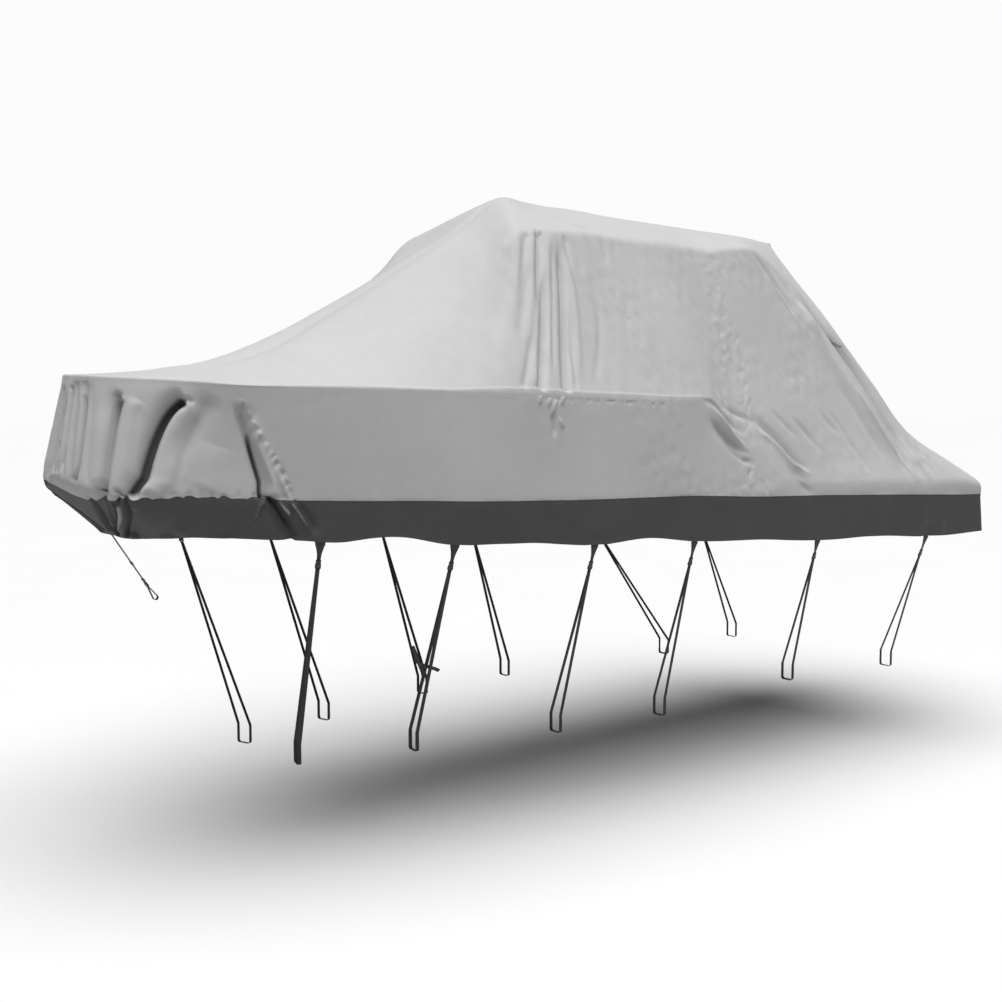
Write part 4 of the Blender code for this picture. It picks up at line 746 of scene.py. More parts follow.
def ripple(points, size, seed):
    """A smooth random field from about -1 to 1, with bumps of about that size."""
    chance = np.random.default_rng(seed)
    ways = chance.normal(size=(WAVES, 3))
    ways /= np.linalg.norm(ways, axis=1)[:, None]
    pace = chance.uniform(0.7, 1.4, WAVES)
    phase = chance.uniform(0, 2 * pi, WAVES)
    field = np.sin((points / np.asarray(size)) @ (ways * pace[:, None]).T * pi + phase)
    return field.sum(axis=1) / np.sqrt(WAVES)


def band(values, low, high, soft):
    """1 between two values and 0 away from them, with soft ends."""
    return smooth_step((values - low) / soft + 0.5) * smooth_step((high - values) / soft + 0.5)


def slack(points, section, girth):
    """How far the cloth lies off its drafted shape, apart from its folds."""

    def field(kind, seed):
        height, size = kind
        return height * ripple(points, size, seed)

    broad = field(BROAD_WAVES, 1)
    hung = band(section, 6.5, MID_SEAM, 1.5) * band(girth, SHOULDER, RAIL, 0.25)
    pleats = hung * field(HUNG_PLEATS, 2)
    packed = 0.35 + 0.65 * band(section, 10.6, 16.5, 1.0) * band(girth, 0.9, SKIRT, 0.3)
    patchy = 0.7 + 0.5 * ripple(points, 0.3, 4)
    crinkle = packed * patchy * (field(FINE_CRINKLE, 3) + field(COARSE_CRINKLE, 6))
    skirt = band(girth, SKIRT, HEM + 0.2, 0.1)
    hang = skirt * field(SKIRT_WAVES, 5)
    centre = smooth_step(np.abs(points[:, 1]) / 0.05)
    return (broad + pleats + crinkle + hang) * centre


print("slack waves up to about %.0f mm" % (2000 * BROAD_WAVES[0]))

# %% [markdown]
# ## The top of the skirt
#
# The dark skirt isn't sewn on in a straight line. Round the stem its top starts lower, and
# beside the stem the light cloth is gathered into it in small scallops. Both are rules on
# the girth place, so that the light panel, the skirt and the stitches all follow them.

# %% The line of the skirt
# Round the stem the dark skirt starts lower: how much lower in girth, at each section.
SKIRT_DIPS = {
    PORT: ((0, 0.3), (0.5, 0.3), (1, 0.29), (1.5, 0.22), (2, 0.1), (2.5, 0.05), (3, 0)),
    STARBOARD: ((0, 0.3), (1, 0)),
}


def laid(section, girth, side):
    """Girth places of a panel's rows, spread to follow the dip in the skirt's top."""
    places, dips = zip(*SKIRT_DIPS[side])
    top = SKIRT + np.interp(section, places, dips)
    above = RAIL_SEAM + (girth - RAIL_SEAM) * (top - RAIL_SEAM) / (SKIRT - RAIL_SEAM)
    below = HEM - (HEM - girth) * (HEM - top) / (HEM - SKIRT)
    return np.where(girth < RAIL_SEAM, girth, np.where(girth < SKIRT, above, below))


def skirt_top(section, side):
    return laid(section, SKIRT, side)


# The top of the skirt is drawn up in small scallops beside the stem: from one section
# place to another, each so many metres long and high.
SCALLOPS = {PORT: (2.42, 3.70, 0.088, 0.017), STARBOARD: (1.2, 3.50, 0.095, 0.013)}


def scallop(points, section, girth, side):
    """How far the seam over the skirt is drawn up at each point."""
    first, last, length, height = SCALLOPS[side]
    run = points[:, 0] * 0.9 + np.abs(points[:, 1]) * 0.5
    wander = 0.35 * np.sin(run * 17.0) + 0.25 * np.sin(run * 43.0 + 1.0)
    arch = np.abs(np.sin(pi * run / length + wander)) ** 0.7
    uneven = 0.65 + 0.35 * np.sin(run * 31.0 + 2.0)
    below = girth - skirt_top(section, side)
    beside = np.exp(-(below / np.where(below < 0, 0.30, 0.22)) ** 2)
    return height * arch * uneven * beside * band(section, first, last, 0.15)


print("lowest dip of the skirt's top: %.2f of its height" % max(dip for _, dip in SKIRT_DIPS[PORT]))

# %% [markdown]
# Two surfaces follow from the shell. One has the main folds alone, as the plain solids
# have, so that tabs and buckles sit where the frame has them. The other has everything.

# %% The plain and the finished cloth
TAUT_GIRTH = 0.09  # beside the rail of the bow, over which the cloth lies taut
TAUT_TO = 3.4  # as far aft as this section


def construction(section, girth, side):
    """Outer points with the main folds alone, and inner points one cloth thickness in."""
    flat = on_side(half_shell(section, girth), side)
    out = normals(section, girth, side)
    lift = np.zeros(len(flat))
    for fold in FOLDS_BY_SIDE[side]:
        if fold.get("name") in MAIN_FOLDS:
            lift += fold_lift(flat, out, fold)
    outer = flat + out * lift[:, None]
    return outer, outer - out * CLOTH


def cloth_surface(section, girth, side):
    """Points of the finished cloth, their outward normals and their lift off the draft."""
    flat = on_side(half_shell(section, girth), side)
    out = normals(section, girth, side)
    lift = slack(flat, section, girth)
    for fold in FOLDS_BY_SIDE[side]:
        lift += fold_lift(flat, out, fold)
    taut = np.exp(-((girth - RAIL) / TAUT_GIRTH) ** 2)
    lift *= 1 - band(section, -1, TAUT_TO, 0.3) * taut
    return flat + out * lift[:, None], out, lift


middle_lift = cloth_surface(np.array([12.0]), np.array([1.5]), PORT)[2][0]
print("lift off the draft, midway down the roof's side: %.1f mm" % (1000 * middle_lift))

# %% [markdown]
# ## The ties
#
# Each tie is a tab sewn inside the hem, a side-release buckle, and a loop of webbing that
# is pulled tight round a square foot. The loops are free cords, so they are made
# early. A loop has a known route: down one leg, round a square foot and up the other.
# Flat webbing is lofted along it with a small rounded section, so it stays flat where a
# bevelled curve would be round.

# %% Sizes of the ties
# One row for each pair of side ties, the same on both sides: its name, the X where its
# tab is sewn, and the X and Y of the middle of the square foot of its loop.
TIES = (
    ("tie_1", 1.24, 1.42, 0.32),
    ("tie_2", 2.06, 2.15, 0.52),
    ("tie_3", 3.07, 3.15, 0.74),
    ("tie_4", 3.95, 4.02, 0.84),
    ("tie_5", 5.23, 5.6, 0.66),
    ("tie_6", 6.56, 6.62, 0.82),
)
FOOT_TOP = -0.930  # heights of the foot's top and bottom
FOOT_BOTTOM = -1.050
FOOT_WIDTH = 0.100
FOOT_CORNER = 0.014  # radius of the foot's bottom corners

BOW_EYE_X, BOW_EYE_Z = 0.660, 0.010
BOW_EYE_WIDTH = 0.030
BOW_SLIDER_DOWN = 0.200  # from the hem to the bow tie's slider and its buckle
BOW_SLIDER_LENGTH = 0.030
BOW_BUCKLE_DOWN = 0.330

# The loose end of tie_2 on the port side: it lies on the inner leg, stands off it and
# folds over.  Each place is measured from where it leaves the leg: across the webbing,
# up along the leg, and out from the leg's middle.
TAIL_TIE = "tie_2_port"
TAIL_FROM = 0.65  # where it leaves the leg, as a part of the leg's length
TAIL_ROUTE = (
    (0.0, -0.04), (0.0, 0.0), (-0.022, 0.05), (-0.055, 0.11), (-0.092, 0.18),
    (-0.128, 0.245), (-0.14, 0.262), (-0.132, 0.25), (-0.104, 0.19), (-0.084, 0.146),
    (-0.045, 0.118), (0.01, 0.095), (0.05, 0.078), (0.08, 0.06),
)
TAIL_OUT = (
    0.0019, 0.0019, 0.006, 0.011, 0.016, 0.02, 0.027, 0.034, 0.035, 0.036, 0.036, 0.035,
    0.034, 0.033,
)

WEBBING_WIDTH = 0.025
WEBBING = 0.0016  # thickness
TAB_WIDTH = 0.060
TAB_SEWN = 0.022  # length that lies inside the hem
TAB_LEAD = 0.016  # straight length below the hem, before the tab turns
TAB_GAP = 0.0009  # between a tab and the hem that it is sewn into
BOW_TAB_GAP = 0.0013  # the same at the stem, where the hem is a tight curve
TAB_TAPER = 0.065  # length from the hem to the webbing's full taper
BUCKLE_DOWN = 0.100  # from the hem to the buckle
BUCKLE_LENGTH = 0.062
BUCKLE_WIDTH = 0.036
BUCKLE_THICKNESS = 0.010
LEG_PITCH = 0.0026  # between the two legs at the buckle
LEG_STEPS = 6  # straight lengths in a leg
SEAM_GAP = 0.0003  # between pieces that touch
MERGE = 0.00005  # points closer than this are one
print("side ties:", 2 * len(TIES))

# %% [markdown]
# A tab is sewn to one flat of the hem, so its place and its three ways are read there:
# up the skirt, along the hem and out. The flats are those of the plain solids.

# %% Where a tab is sewn
FLAT_UP = 0.5  # a flat reaches this far up from the hem, in girth places
FLAT_END = 0.002  # a tab keeps at least this far from the ends of its flat


def to_part(points):
    return np.asarray(points) - np.array([HOLD_AFT, 0.0, HOLD_HEIGHT])


def section_places(first, last):
    """Section places of the loft's columns, from one named section to another."""
    places = []
    for row in range(section_number(first), section_number(last)):
        count = SECTIONS[row][1]
        places += [row + k / count for k in range(count)]
    return np.array(places + [section_number(last)], float)


def hem_frame(hem_x, side):
    """Where a tab is sewn: a point on the inner face of the hem, the way up the
    skirt, the way along the hem and the way out, all on one flat of the loft."""
    sections = section_places("stem", "transom")
    hem, above = (construction(sections, g, side)[1] for g in (HEM, HEM - FLAT_UP))
    flat = int(np.searchsorted(hem[:, 0], hem_x)) - 1
    along = hem[flat + 1] - hem[flat]
    keep = min(0.5, (TAB_WIDTH / 2 + FLAT_END) / np.linalg.norm(along))
    part = np.clip((hem_x - hem[flat, 0]) / along[0], keep, 1 - keep)
    low = hem[flat] + along * part
    high = above[flat] + (above[flat + 1] - above[flat]) * part
    up, along = unit(high - low), unit(along)
    out = unit(np.cross(along, up)) * -side
    # A warped flat is two triangles, so the tab keeps clear of the nearer one.
    twist = above[flat + 1] - above[flat] - hem[flat + 1] + hem[flat]
    warp = abs(np.dot(twist, out)) * TAB_SEWN / np.linalg.norm(high - low)
    return low - out * warp, up, along, out


print("columns of flats along the hem:", len(section_places("stem", "transom")) - 1)


# %% Routes of a loop and of the loose end
def tie_path(begin, legs_apart, foot_mid, side_way):
    """The loop's path: from the buckle down one leg, round the foot and back up."""
    half = FOOT_WIDTH / 2

    def corner(out, height, angle):
        centre = foot_mid + side_way * out * (half - FOOT_CORNER)
        centre[2] = height + FOOT_CORNER
        turn = side_way * out * sin(angle) - np.array([0.0, 0.0, cos(angle)])
        return centre + FOOT_CORNER * turn

    top_out = foot_mid + side_way * half
    top_in = foot_mid - side_way * half
    apart = legs_apart / 2
    parts = [k / LEG_STEPS for k in range(LEG_STEPS + 1)]
    path = [begin + apart + (top_out - begin - apart) * part for part in parts]
    path += [corner(1, FOOT_BOTTOM, a) for a in (pi / 2, pi / 4, 0)]
    path += [corner(-1, FOOT_BOTTOM, a) for a in (0, pi / 4, pi / 2)]
    path += [top_in + (begin - apart - top_in) * part for part in parts]
    return path


def tail_path(leg_top, leg_foot, across, outboard):
    """The loose end's path beside one leg of its loop, and the way across it."""
    up = unit(leg_top - leg_foot)
    across = unit(across - up * np.dot(across, up))
    off = np.cross(up, across)
    off = off if np.dot(off, outboard) > 0 else -off
    leave = leg_top + (leg_foot - leg_top) * TAIL_FROM
    path = [
        leave + across * a + up * u + off * out
        for (a, u), out in zip(TAIL_ROUTE, TAIL_OUT)
    ]
    ways = []
    for k in range(len(path)):
        run = unit(path[min(k + 1, len(path) - 1)] - path[max(k - 1, 0)])
        flat = run - off * np.dot(run, off)
        turned = np.linalg.norm(flat) < 0.5
        ways.append(ways[-1] if turned else unit(np.cross(flat, off)))
    # Past the fold the webbing runs back, so its way across keeps its first sense.
    return path, [way if np.dot(way, ways[0]) > 0 else -way for way in ways]


print("points in the loose end's route:", len(TAIL_ROUTE))

# %% [markdown]
# Flat webbing has eight points round it: two edges, and six on its faces. One ring of
# them stands at each point of the route, and faces join one ring to the next.

# %% Webbing
EDGE_ROUND = 0.7  # how far its edge is rounded, as a part of half its thickness


def webbing_strip(name, path, width_ways, widths, thickness):
    """Flat webbing lofted along a path, with rounded edges and a UV map in metres."""
    path = np.asarray(path, float)
    mesh = bmesh.new()
    uv = mesh.loops.layers.uv.new("cloth")
    rings = []
    run = 0.0
    for k, place in enumerate(path):
        before = unit(place - path[k - 1]) if k > 0 else unit(path[1] - place)
        after = unit(path[k + 1] - place) if k < len(path) - 1 else before
        along = unit(before + after)
        across = unit(width_ways[k] - along * np.dot(along, width_ways[k]))
        thick = np.cross(along, across) / max(float(np.dot(along, after)), 0.5)
        run += float(np.linalg.norm(place - path[k - 1])) if k > 0 else 0.0
        half, deep = widths[k] / 2, thickness / 2
        flat = half - EDGE_ROUND * deep
        outline = (
            (half, 0.0), (flat, deep), (0.0, deep), (-flat, deep),
            (-half, 0.0), (-flat, -deep), (0.0, -deep), (flat, -deep),
        )
        ring = [mesh.verts.new(to_part(place + across * a + thick * b)) for a, b in outline]
        rings.append((ring, [a for a, _ in outline], run))
    count = len(rings[0][0])
    for (ring, places, start), (following, _, stop) in zip(rings, rings[1:]):
        for k in range(count):
            n = (k + 1) % count
            face = mesh.faces.new((ring[k], ring[n], following[n], following[k]))
            corners = ((places[k], start), (places[n], start), (places[n], stop), (places[k], stop))
            for loop, corner in zip(face.loops, corners):
                loop[uv].uv = corner
            face.smooth = True
    for ring, places, start in (rings[0], rings[-1]):
        cap = mesh.faces.new(ring[::-1])
        for loop, place in zip(cap.loops, places[::-1]):
            loop[uv].uv = (place, start)
    bmesh.ops.recalc_face_normals(mesh, faces=mesh.faces)
    return new_piece(name, mesh)


def new_piece(name, mesh):
    """An object for a finished bmesh."""
    data = bpy.data.meshes.new(name)
    mesh.to_mesh(data)
    mesh.free()
    return add_object(name, data)


def path_length(path):
    return float(run_along(np.asarray(path))[-1])


print("webbing:", WEBBING_WIDTH * 1000, "mm wide and", WEBBING * 1000, "mm thick")

# %% [markdown]
# The route of each loop is worked out from the hem and the foot that it goes round. Its
# length is measured along the route's own points.

# %% Places of the side ties
STRIP_STEP = 0.03  # webbing is lofted in steps of about this length
TAIL_STEP = 0.018  # and the loose end in shorter ones


def finer(path, ways, step):
    """A path with no straight longer than a step, and the way across at each point."""
    points, across = [path[0]], [ways[0]]
    for k in range(1, len(path)):
        gap = float(np.linalg.norm(path[k] - path[k - 1]))
        parts = max(1, round(gap / step))
        for part in range(1, parts + 1):
            points.append(path[k - 1] + (path[k] - path[k - 1]) * part / parts)
            across.append(ways[k - 1] + (ways[k] - ways[k - 1]) * part / parts)
    return points, across


def tie_facts(hem_x, foot_x, foot_y, side):
    """Places and ways that a side tie is made from."""
    inner, up, along, out = hem_frame(hem_x, side)
    sewn = inner - out * (WEBBING / 2 + TAB_GAP)
    hem = sewn - up * TAB_LEAD
    foot_mid = np.array([foot_x, side * foot_y, FOOT_TOP])
    down = unit(foot_mid - hem)
    across = unit(along - down * np.dot(along, down))
    outboard = unit(np.array([-along[1], along[0], 0.0])) * side
    begin = hem + down * (BUCKLE_DOWN + BUCKLE_LENGTH + 2 * SEAM_GAP)
    thick = np.cross(down, across)
    thick = thick if np.dot(thick, outboard) > 0 else -thick
    route = tie_path(begin, thick * LEG_PITCH, foot_mid, outboard)
    return {"sewn": sewn, "up": up, "along": along, "hem": hem, "down": down,
            "across": across, "route": route, "outboard": outboard}


print("webbing is lofted every %.0f mm" % (1000 * STRIP_STEP))


# %% Places of the bow tie
BOW_LEG_START = 0.015  # where the bow tie's two legs have come apart
BOW_LEG_APART = 0.009


def bow_facts():
    """The same for the single tie at the stem."""
    stem = np.array([0.0])
    low = construction(stem, HEM, STARBOARD)[1][0]
    high = construction(stem, HEM - 0.25, STARBOARD)[1][0]
    out = normals(stem, HEM, STARBOARD)[0]
    hem = low - out * (WEBBING / 2 + BOW_TAB_GAP)
    eye = np.array([BOW_EYE_X, 0.0, BOW_EYE_Z])
    down, up = unit(eye - hem), unit(high - low)
    across = np.array([0.0, 1.0, 0.0])
    thick = np.cross(down, across)
    begin = hem + down * (BOW_BUCKLE_DOWN + BUCKLE_LENGTH + 2 * SEAM_GAP)
    reach, half = np.linalg.norm(eye - begin), BOW_EYE_WIDTH / 2
    parted = begin + down * BOW_LEG_START
    route = [begin + thick * LEG_PITCH / 2, parted + thick * BOW_LEG_APART / 2]
    route.append(begin + down * reach + thick * half)
    for step in range(1, 6):
        turn = pi * step / 6
        route.append(begin + down * (reach + half * sin(turn)) + thick * half * cos(turn))
    route += [begin + down * reach - thick * half, parted - thick * BOW_LEG_APART / 2]
    route.append(begin - thick * LEG_PITCH / 2)
    return {"sewn": hem, "up": up, "along": across, "hem": hem, "down": down,
            "across": across, "route": route}


TIE_FACTS = {"tie_bow": bow_facts()}
print("bow tie leaves the hem %.3f m aft of the foremost cloth" % TIE_FACTS["tie_bow"]["hem"][0])

# %% The loops of the ties
for tie_name, hem_x, foot_x, foot_y in TIES:
    for side, word in ((PORT, "_port"), (STARBOARD, "_starboard")):
        TIE_FACTS[tie_name + word] = tie_facts(hem_x, foot_x, foot_y, side)

loops = {}
for tie_name, facts in TIE_FACTS.items():
    route = facts["route"]
    path, ways = finer(route, [facts["across"]] * len(route), STRIP_STEP)
    count = len(path)
    piece = webbing_strip(tie_name + "_strap", path, ways, [WEBBING_WIDTH] * count, WEBBING)
    loops[tie_name] = piece
    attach(piece, "root")
    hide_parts(tie_name + "_loop")
    path_length(path)
    print("%-20s loop of %.3f m" % (tie_name, path_length(path)))

# %% [markdown]
# One tie's loose end shows: it lies on the inner leg, stands off and folds over itself. It
# is webbing like the rest, so it is lofted along a route of its own.

# %% The loose end
facts = TIE_FACTS[TAIL_TIE]
leg_top, leg_foot = facts["route"][-1], facts["route"][-1 - LEG_STEPS]
path, ways = tail_path(leg_top, leg_foot, facts["across"], facts["outboard"])
path, ways = finer(path, ways, TAIL_STEP)
tail = webbing_strip(TAIL_TIE + "_loose_end", path, ways, [WEBBING_WIDTH] * len(path), WEBBING)
loops["loose end"] = tail
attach(tail, "root")
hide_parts(TAIL_TIE + "_tail")
path_length(path)
print("loose end of %.3f m" % path_length(path))

# %% [markdown]
# ## Tabs
#
# Where a tie meets the hem, its webbing is folded out into a flat tapered tab and sewn
# down inside the hem. It is the same loft as the loop, only with widths that change along
# it. At the bow the webbing keeps its width, and passes a slider.

# %% Tabs and the bow tie's run
SLOT_REACH = 0.006  # how far webbing goes into a buckle's slot
TAB_MID_WIDTH = 0.040  # halfway down the taper
TAB_EASE = 0.002  # the taper ends this much wide, and the buckle takes it narrow
tabs = {}
for tie_name, facts in TIE_FACTS.items():
    hem, down = facts["hem"], facts["down"]
    along, across = facts["along"], facts["across"]
    if tie_name == "tie_bow":
        stops = [(reach, WEBBING_WIDTH) for reach in (0.0, TAB_TAPER, BOW_SLIDER_DOWN)]
        path = [facts["sewn"] + facts["up"] * TAB_SEWN]
        widths, ways = [WEBBING_WIDTH], [across]
    else:
        stops = ((0.0, TAB_WIDTH), (TAB_TAPER * 0.5, TAB_MID_WIDTH),
                 (TAB_TAPER, WEBBING_WIDTH + TAB_EASE),
                 (BUCKLE_DOWN + SLOT_REACH, WEBBING_WIDTH - TAB_EASE))
        path = [facts["sewn"] + facts["up"] * TAB_SEWN, facts["sewn"]]
        widths, ways = [TAB_WIDTH, TAB_WIDTH], [along, along]
    for reach, width in stops:
        path.append(hem + down * reach)
        widths.append(width)
        ways.append(along if reach == 0.0 else across)
    piece = webbing_strip(tie_name + "_sewn_tab", path, ways, widths, WEBBING)
    tabs[tie_name] = piece
    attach(piece, "root")
    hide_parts(tie_name + "_tab")

facts = TIE_FACTS["tie_bow"]
ends = (BOW_SLIDER_DOWN + BOW_SLIDER_LENGTH, BOW_BUCKLE_DOWN + SLOT_REACH)
run = [facts["hem"] + facts["down"] * reach for reach in ends]
path, ways = finer(run, [facts["across"]] * 2, STRIP_STEP)
bow_run = webbing_strip("tie_bow_between", path, ways, [WEBBING_WIDTH] * len(path), WEBBING)
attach(bow_run, "root")
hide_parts("tie_bow_run")
tabs["tie_bow_run"] = bow_run
print("tabs:", len(tabs))

# %% [markdown]
# ## Side-release buckles
#
# A side-release buckle has a housing with two side windows, and a base whose two prongs
# snap out into them. Both are moulded flat, so each is a flat outline with holes, given
# a thickness and a small bevel. A 2D curve does that in one step.

# %% Flat mouldings
MOULDING_EDGE = 0.0009
CORNER_CUT = 0.2  # part of each side that a corner loses


def rounded(outline):
    """A closed outline with its corners cut, and then those corners cut again."""
    for _ in range(2):
        cut = []
        for (ax, ay), (bx, by) in zip(outline, outline[1:] + outline[:1]):
            for part in (CORNER_CUT, 1 - CORNER_CUT):
                cut.append(((1 - part) * ax + part * bx, (1 - part) * ay + part * by))
        outline = cut
    return outline


def box_outline(x0, x1, half):
    return [(x0, -half), (x1, -half), (x1, half), (x0, half)]


def moulding(outlines, thickness):
    """A flat moulded piece: its outline and its holes, bevelled, as a mesh."""
    curve = bpy.data.curves.new("moulding", "CURVE")
    curve.dimensions = "2D"
    curve.fill_mode = "BOTH"
    curve.extrude = thickness / 2 - MOULDING_EDGE
    curve.bevel_depth = MOULDING_EDGE
    curve.bevel_resolution = 1
    curve.offset = -MOULDING_EDGE
    for outline in outlines:
        spline = curve.splines.new("POLY")
        spline.points.add(len(outline) - 1)
        for point, (x, y) in zip(spline.points, outline):
            point.co = (x, y, 0.0, 1.0)
        spline.use_cyclic_u = True
    flat = add_object("moulding", curve)
    depsgraph = bpy.context.evaluated_depsgraph_get()
    data = bpy.data.meshes.new_from_object(flat.evaluated_get(depsgraph))
    bpy.data.objects.remove(flat)
    bpy.data.curves.remove(curve)
    return data


def place_mouldings(name, parts, middle, down, across):
    """Mouldings as one piece, set where a buckle lies."""
    mesh = bmesh.new()
    for data in parts:
        mesh.from_mesh(data)
        bpy.data.meshes.remove(data)
    bmesh.ops.remove_doubles(mesh, verts=mesh.verts, dist=MERGE)
    thick = np.cross(down, across)
    for vert in mesh.verts:
        x, y, z = vert.co
        vert.co = to_part(middle + x * down + y * across + z * thick)
    bmesh.ops.recalc_face_normals(mesh, faces=mesh.faces)
    return new_piece(name, mesh)


print("mouldings have edges of", MOULDING_EDGE * 1000, "mm")

# %% [markdown]
# The outlines below are drawn on half a buckle's length and half its width, and mirrored,
# so that one list of corners serves both sides.

# %% Buckles
BASE_THICKNESS = 0.0080
PRONG_THICKNESS = 0.0050
BAR_FROM, BAR_TO = 0.0035, 0.0075  # a webbing slot, measured from its end of the buckle
BASE_SIDE, HOUSING_SIDE = 0.0045, 0.0050  # moulding beside each end's slot
BASE = ((-1.0, 0.84), (-0.32, 0.84), (-0.2, 0.6))
HOUSING = ((-0.16, 0.62), (0.1, 0.64), (0.3, 0.97), (0.55, 1.0), (1.0, 0.86))
PRONG = ((-0.3, 0.5), (-0.3, 0.8), (0.05, 0.96), (0.26, 0.98), (0.3, 0.7), (0.0, 0.56))
SLIDER_SLOTS = (-0.0095, 0.0040)
SLIDER_SLOT_LENGTH = 0.0055


def side_release(name, middle, down, across):
    """A shut side-release buckle: base and prongs above, housing below."""
    half, wide = BUCKLE_LENGTH / 2, BUCKLE_WIDTH / 2

    def both_sides(outline):
        near = [(x * half, -y * wide) for x, y in outline]
        return rounded(near + [(x, -y) for x, y in reversed(near)])

    slot = rounded(box_outline(-half + BAR_FROM, -half + BAR_TO, wide - BASE_SIDE))
    bar = rounded(box_outline(half - BAR_TO, half - BAR_FROM, wide - HOUSING_SIDE))
    parts = [
        moulding([both_sides(BASE), slot], BASE_THICKNESS),
        moulding([both_sides(HOUSING), bar], BUCKLE_THICKNESS),
    ]
    for way in (-1, 1):
        prong = rounded([(x * half, way * y * wide) for x, y in PRONG])
        parts.append(moulding([prong], PRONG_THICKNESS))
    return place_mouldings(name, parts, middle, down, across)


def slider(name, middle, down, across):
    """A three-bar slider."""
    half, wide = BOW_SLIDER_LENGTH / 2, BUCKLE_WIDTH / 2
    outlines = [rounded(box_outline(-half, half, wide))]
    for x in SLIDER_SLOTS:
        outlines.append(rounded(box_outline(x, x + SLIDER_SLOT_LENGTH, wide - BASE_SIDE)))
    bars = moulding(outlines, PRONG_THICKNESS)
    return place_mouldings(name, [bars], middle, down, across)


buckles = {}
for tie_name, facts in TIE_FACTS.items():
    drop = BOW_BUCKLE_DOWN if tie_name == "tie_bow" else BUCKLE_DOWN
    middle = facts["hem"] + facts["down"] * (drop + BUCKLE_LENGTH / 2)
    piece = side_release(tie_name + "_clip", middle, facts["down"], facts["across"])
    buckles[tie_name] = piece
    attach(piece, "root")
    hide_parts(tie_name + "_buckle")
facts = TIE_FACTS["tie_bow"]
middle = facts["hem"] + facts["down"] * (BOW_SLIDER_DOWN + BOW_SLIDER_LENGTH / 2)
buckles["tie_bow_slider"] = slider("tie_bow_bar", middle, facts["down"], facts["across"])
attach(buckles["tie_bow_slider"], "root")
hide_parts("tie_bow_slider")
print("buckles:", len(buckles), "with", len(buckles["tie_1_port"].data.polygons), "faces each")

# %% [markdown]
# ## The cut panels
#
# Each panel is one grid of points over the shell, finer where its creases are finer,
# lifted by the folds and the slack, and given the thickness of coated cloth by Solidify.
# A grid beats a simulated sheet here, since the folds have known places. The grid also
# gives a UV map in metres, so that the weave follows the cloth, and two attributes for
# the material: how far the cloth is lifted and how near it is to a seam.

# %% Seams and hem
SEAM_BAND = 0.011  # half width of the doubled cloth over a seam
SEAM_RISE = 0.0022
SEAM_NOTCH = 0.0018
SEAM_EDGE = 0.004  # over which a doubled edge rises
NOTCH_HALF = 0.003
RAIL_WELT = 0.003  # how far the tight edge over the rail stands out
RAIL_WELT_HALF = 0.010
RAIL_EDGE = 1.985  # girth place of its middle
RAIL_WELT_SECTIONS = (0.3, 12.2)
HEM_BAND = 0.026
HEM_RISE = 0.0012
QUIET_FROM, QUIET_OVER = 0.035, 0.07  # from a tab's middle, where folds begin and grow
REAR_TIP = (18, 0.5, 2.3215)  # past this section and above this girth, no higher than this
# Cross seams: section, from girth to girth, and how plainly the seam shows.
CROSS_SEAMS = (
    (BOW_SEAM, RAIL_SEAM, SKIRT, 0.6),
    (MID_SEAM, CREST, SKIRT, 0.3),
    (AFT_SEAM, CREST, SKIRT, 0.4),
)
SEAM_NEAR = 1.2  # sections, past which a cross seam isn't looked for
FAINT = 0.03  # a seam that hardly shows counts as this much further off


def far_off(points, section, girth):
    """Distance from points of one half to the same half at other places."""
    return np.linalg.norm(points - half_shell(section, girth), axis=1)


def seam_relief(away):
    """The band of doubled cloth over a seam, and the notch along its middle."""
    doubled = SEAM_RISE * smooth_step((SEAM_BAND - away) / SEAM_EDGE)
    return doubled - SEAM_NOTCH * np.exp(-(away / NOTCH_HALF) ** 2)


def seams(points, section, girth, side):
    """Distance from each point of a half to its nearest seam, and the relief there."""
    nearest = far_off(points, section, skirt_top(section, side))
    relief = seam_relief(nearest)
    for seam, top, bottom, plainly in CROSS_SEAMS:
        near = np.abs(section - seam) < SEAM_NEAR
        near &= (girth >= top) & (girth <= bottom)
        if near.any():
            away = far_off(points[near], seam, girth[near])
            relief[near] += plainly * seam_relief(away)
            nearest[near] = np.minimum(nearest[near], away + FAINT * (1 - plainly))
    return nearest, relief


# %% The cloth with its seams
def quiet_at_ties(points):
    """0 beside a sewn tab and 1 away from it, so that the hem lies flat on its tabs."""
    calm = np.ones(len(points))
    for facts in TIE_FACTS.values():
        away = np.linalg.norm(points - facts["sewn"], axis=1)
        calm = np.minimum(calm, smooth_step((away - QUIET_FROM) / QUIET_OVER))
    return calm


def sewn_surface(section, girth, side):
    """The finished cloth with its seams: points, normals, lift and distance to a seam."""
    flat = half_shell(section, girth)
    near_seam, relief = seams(flat, section, girth, side)
    from_hem = far_off(flat, section, HEM)
    from_rail = far_off(flat, section, RAIL_EDGE)
    points, out, lift = cloth_surface(section, girth, side)
    plain = construction(section, girth, side)[0]
    calm = quiet_at_ties(on_side(flat, side))[:, None]
    points = plain + (points - plain) * calm
    on_rail = band(section, *RAIL_WELT_SECTIONS, 0.8) * (girth < SKIRT)
    rise = relief + RAIL_WELT * on_rail * np.exp(-(from_rail / RAIL_WELT_HALF) ** 2)
    hem_edge = smooth_step((HEM_BAND - from_hem) / SEAM_EDGE) * (girth > SKIRT)
    rise += HEM_RISE * hem_edge * calm[:, 0]
    points = points + out * rise[:, None]
    points[:, 2] += scallop(flat, section, girth, side) * calm[:, 0]
    tip = (section > REAR_TIP[0]) & (girth < REAR_TIP[1])
    points[tip, 2] = np.minimum(points[tip, 2], REAR_TIP[2])
    return points, out, lift, near_seam


print("cross seams:", len(CROSS_SEAMS), "with a band of", 2000 * SEAM_BAND, "mm")

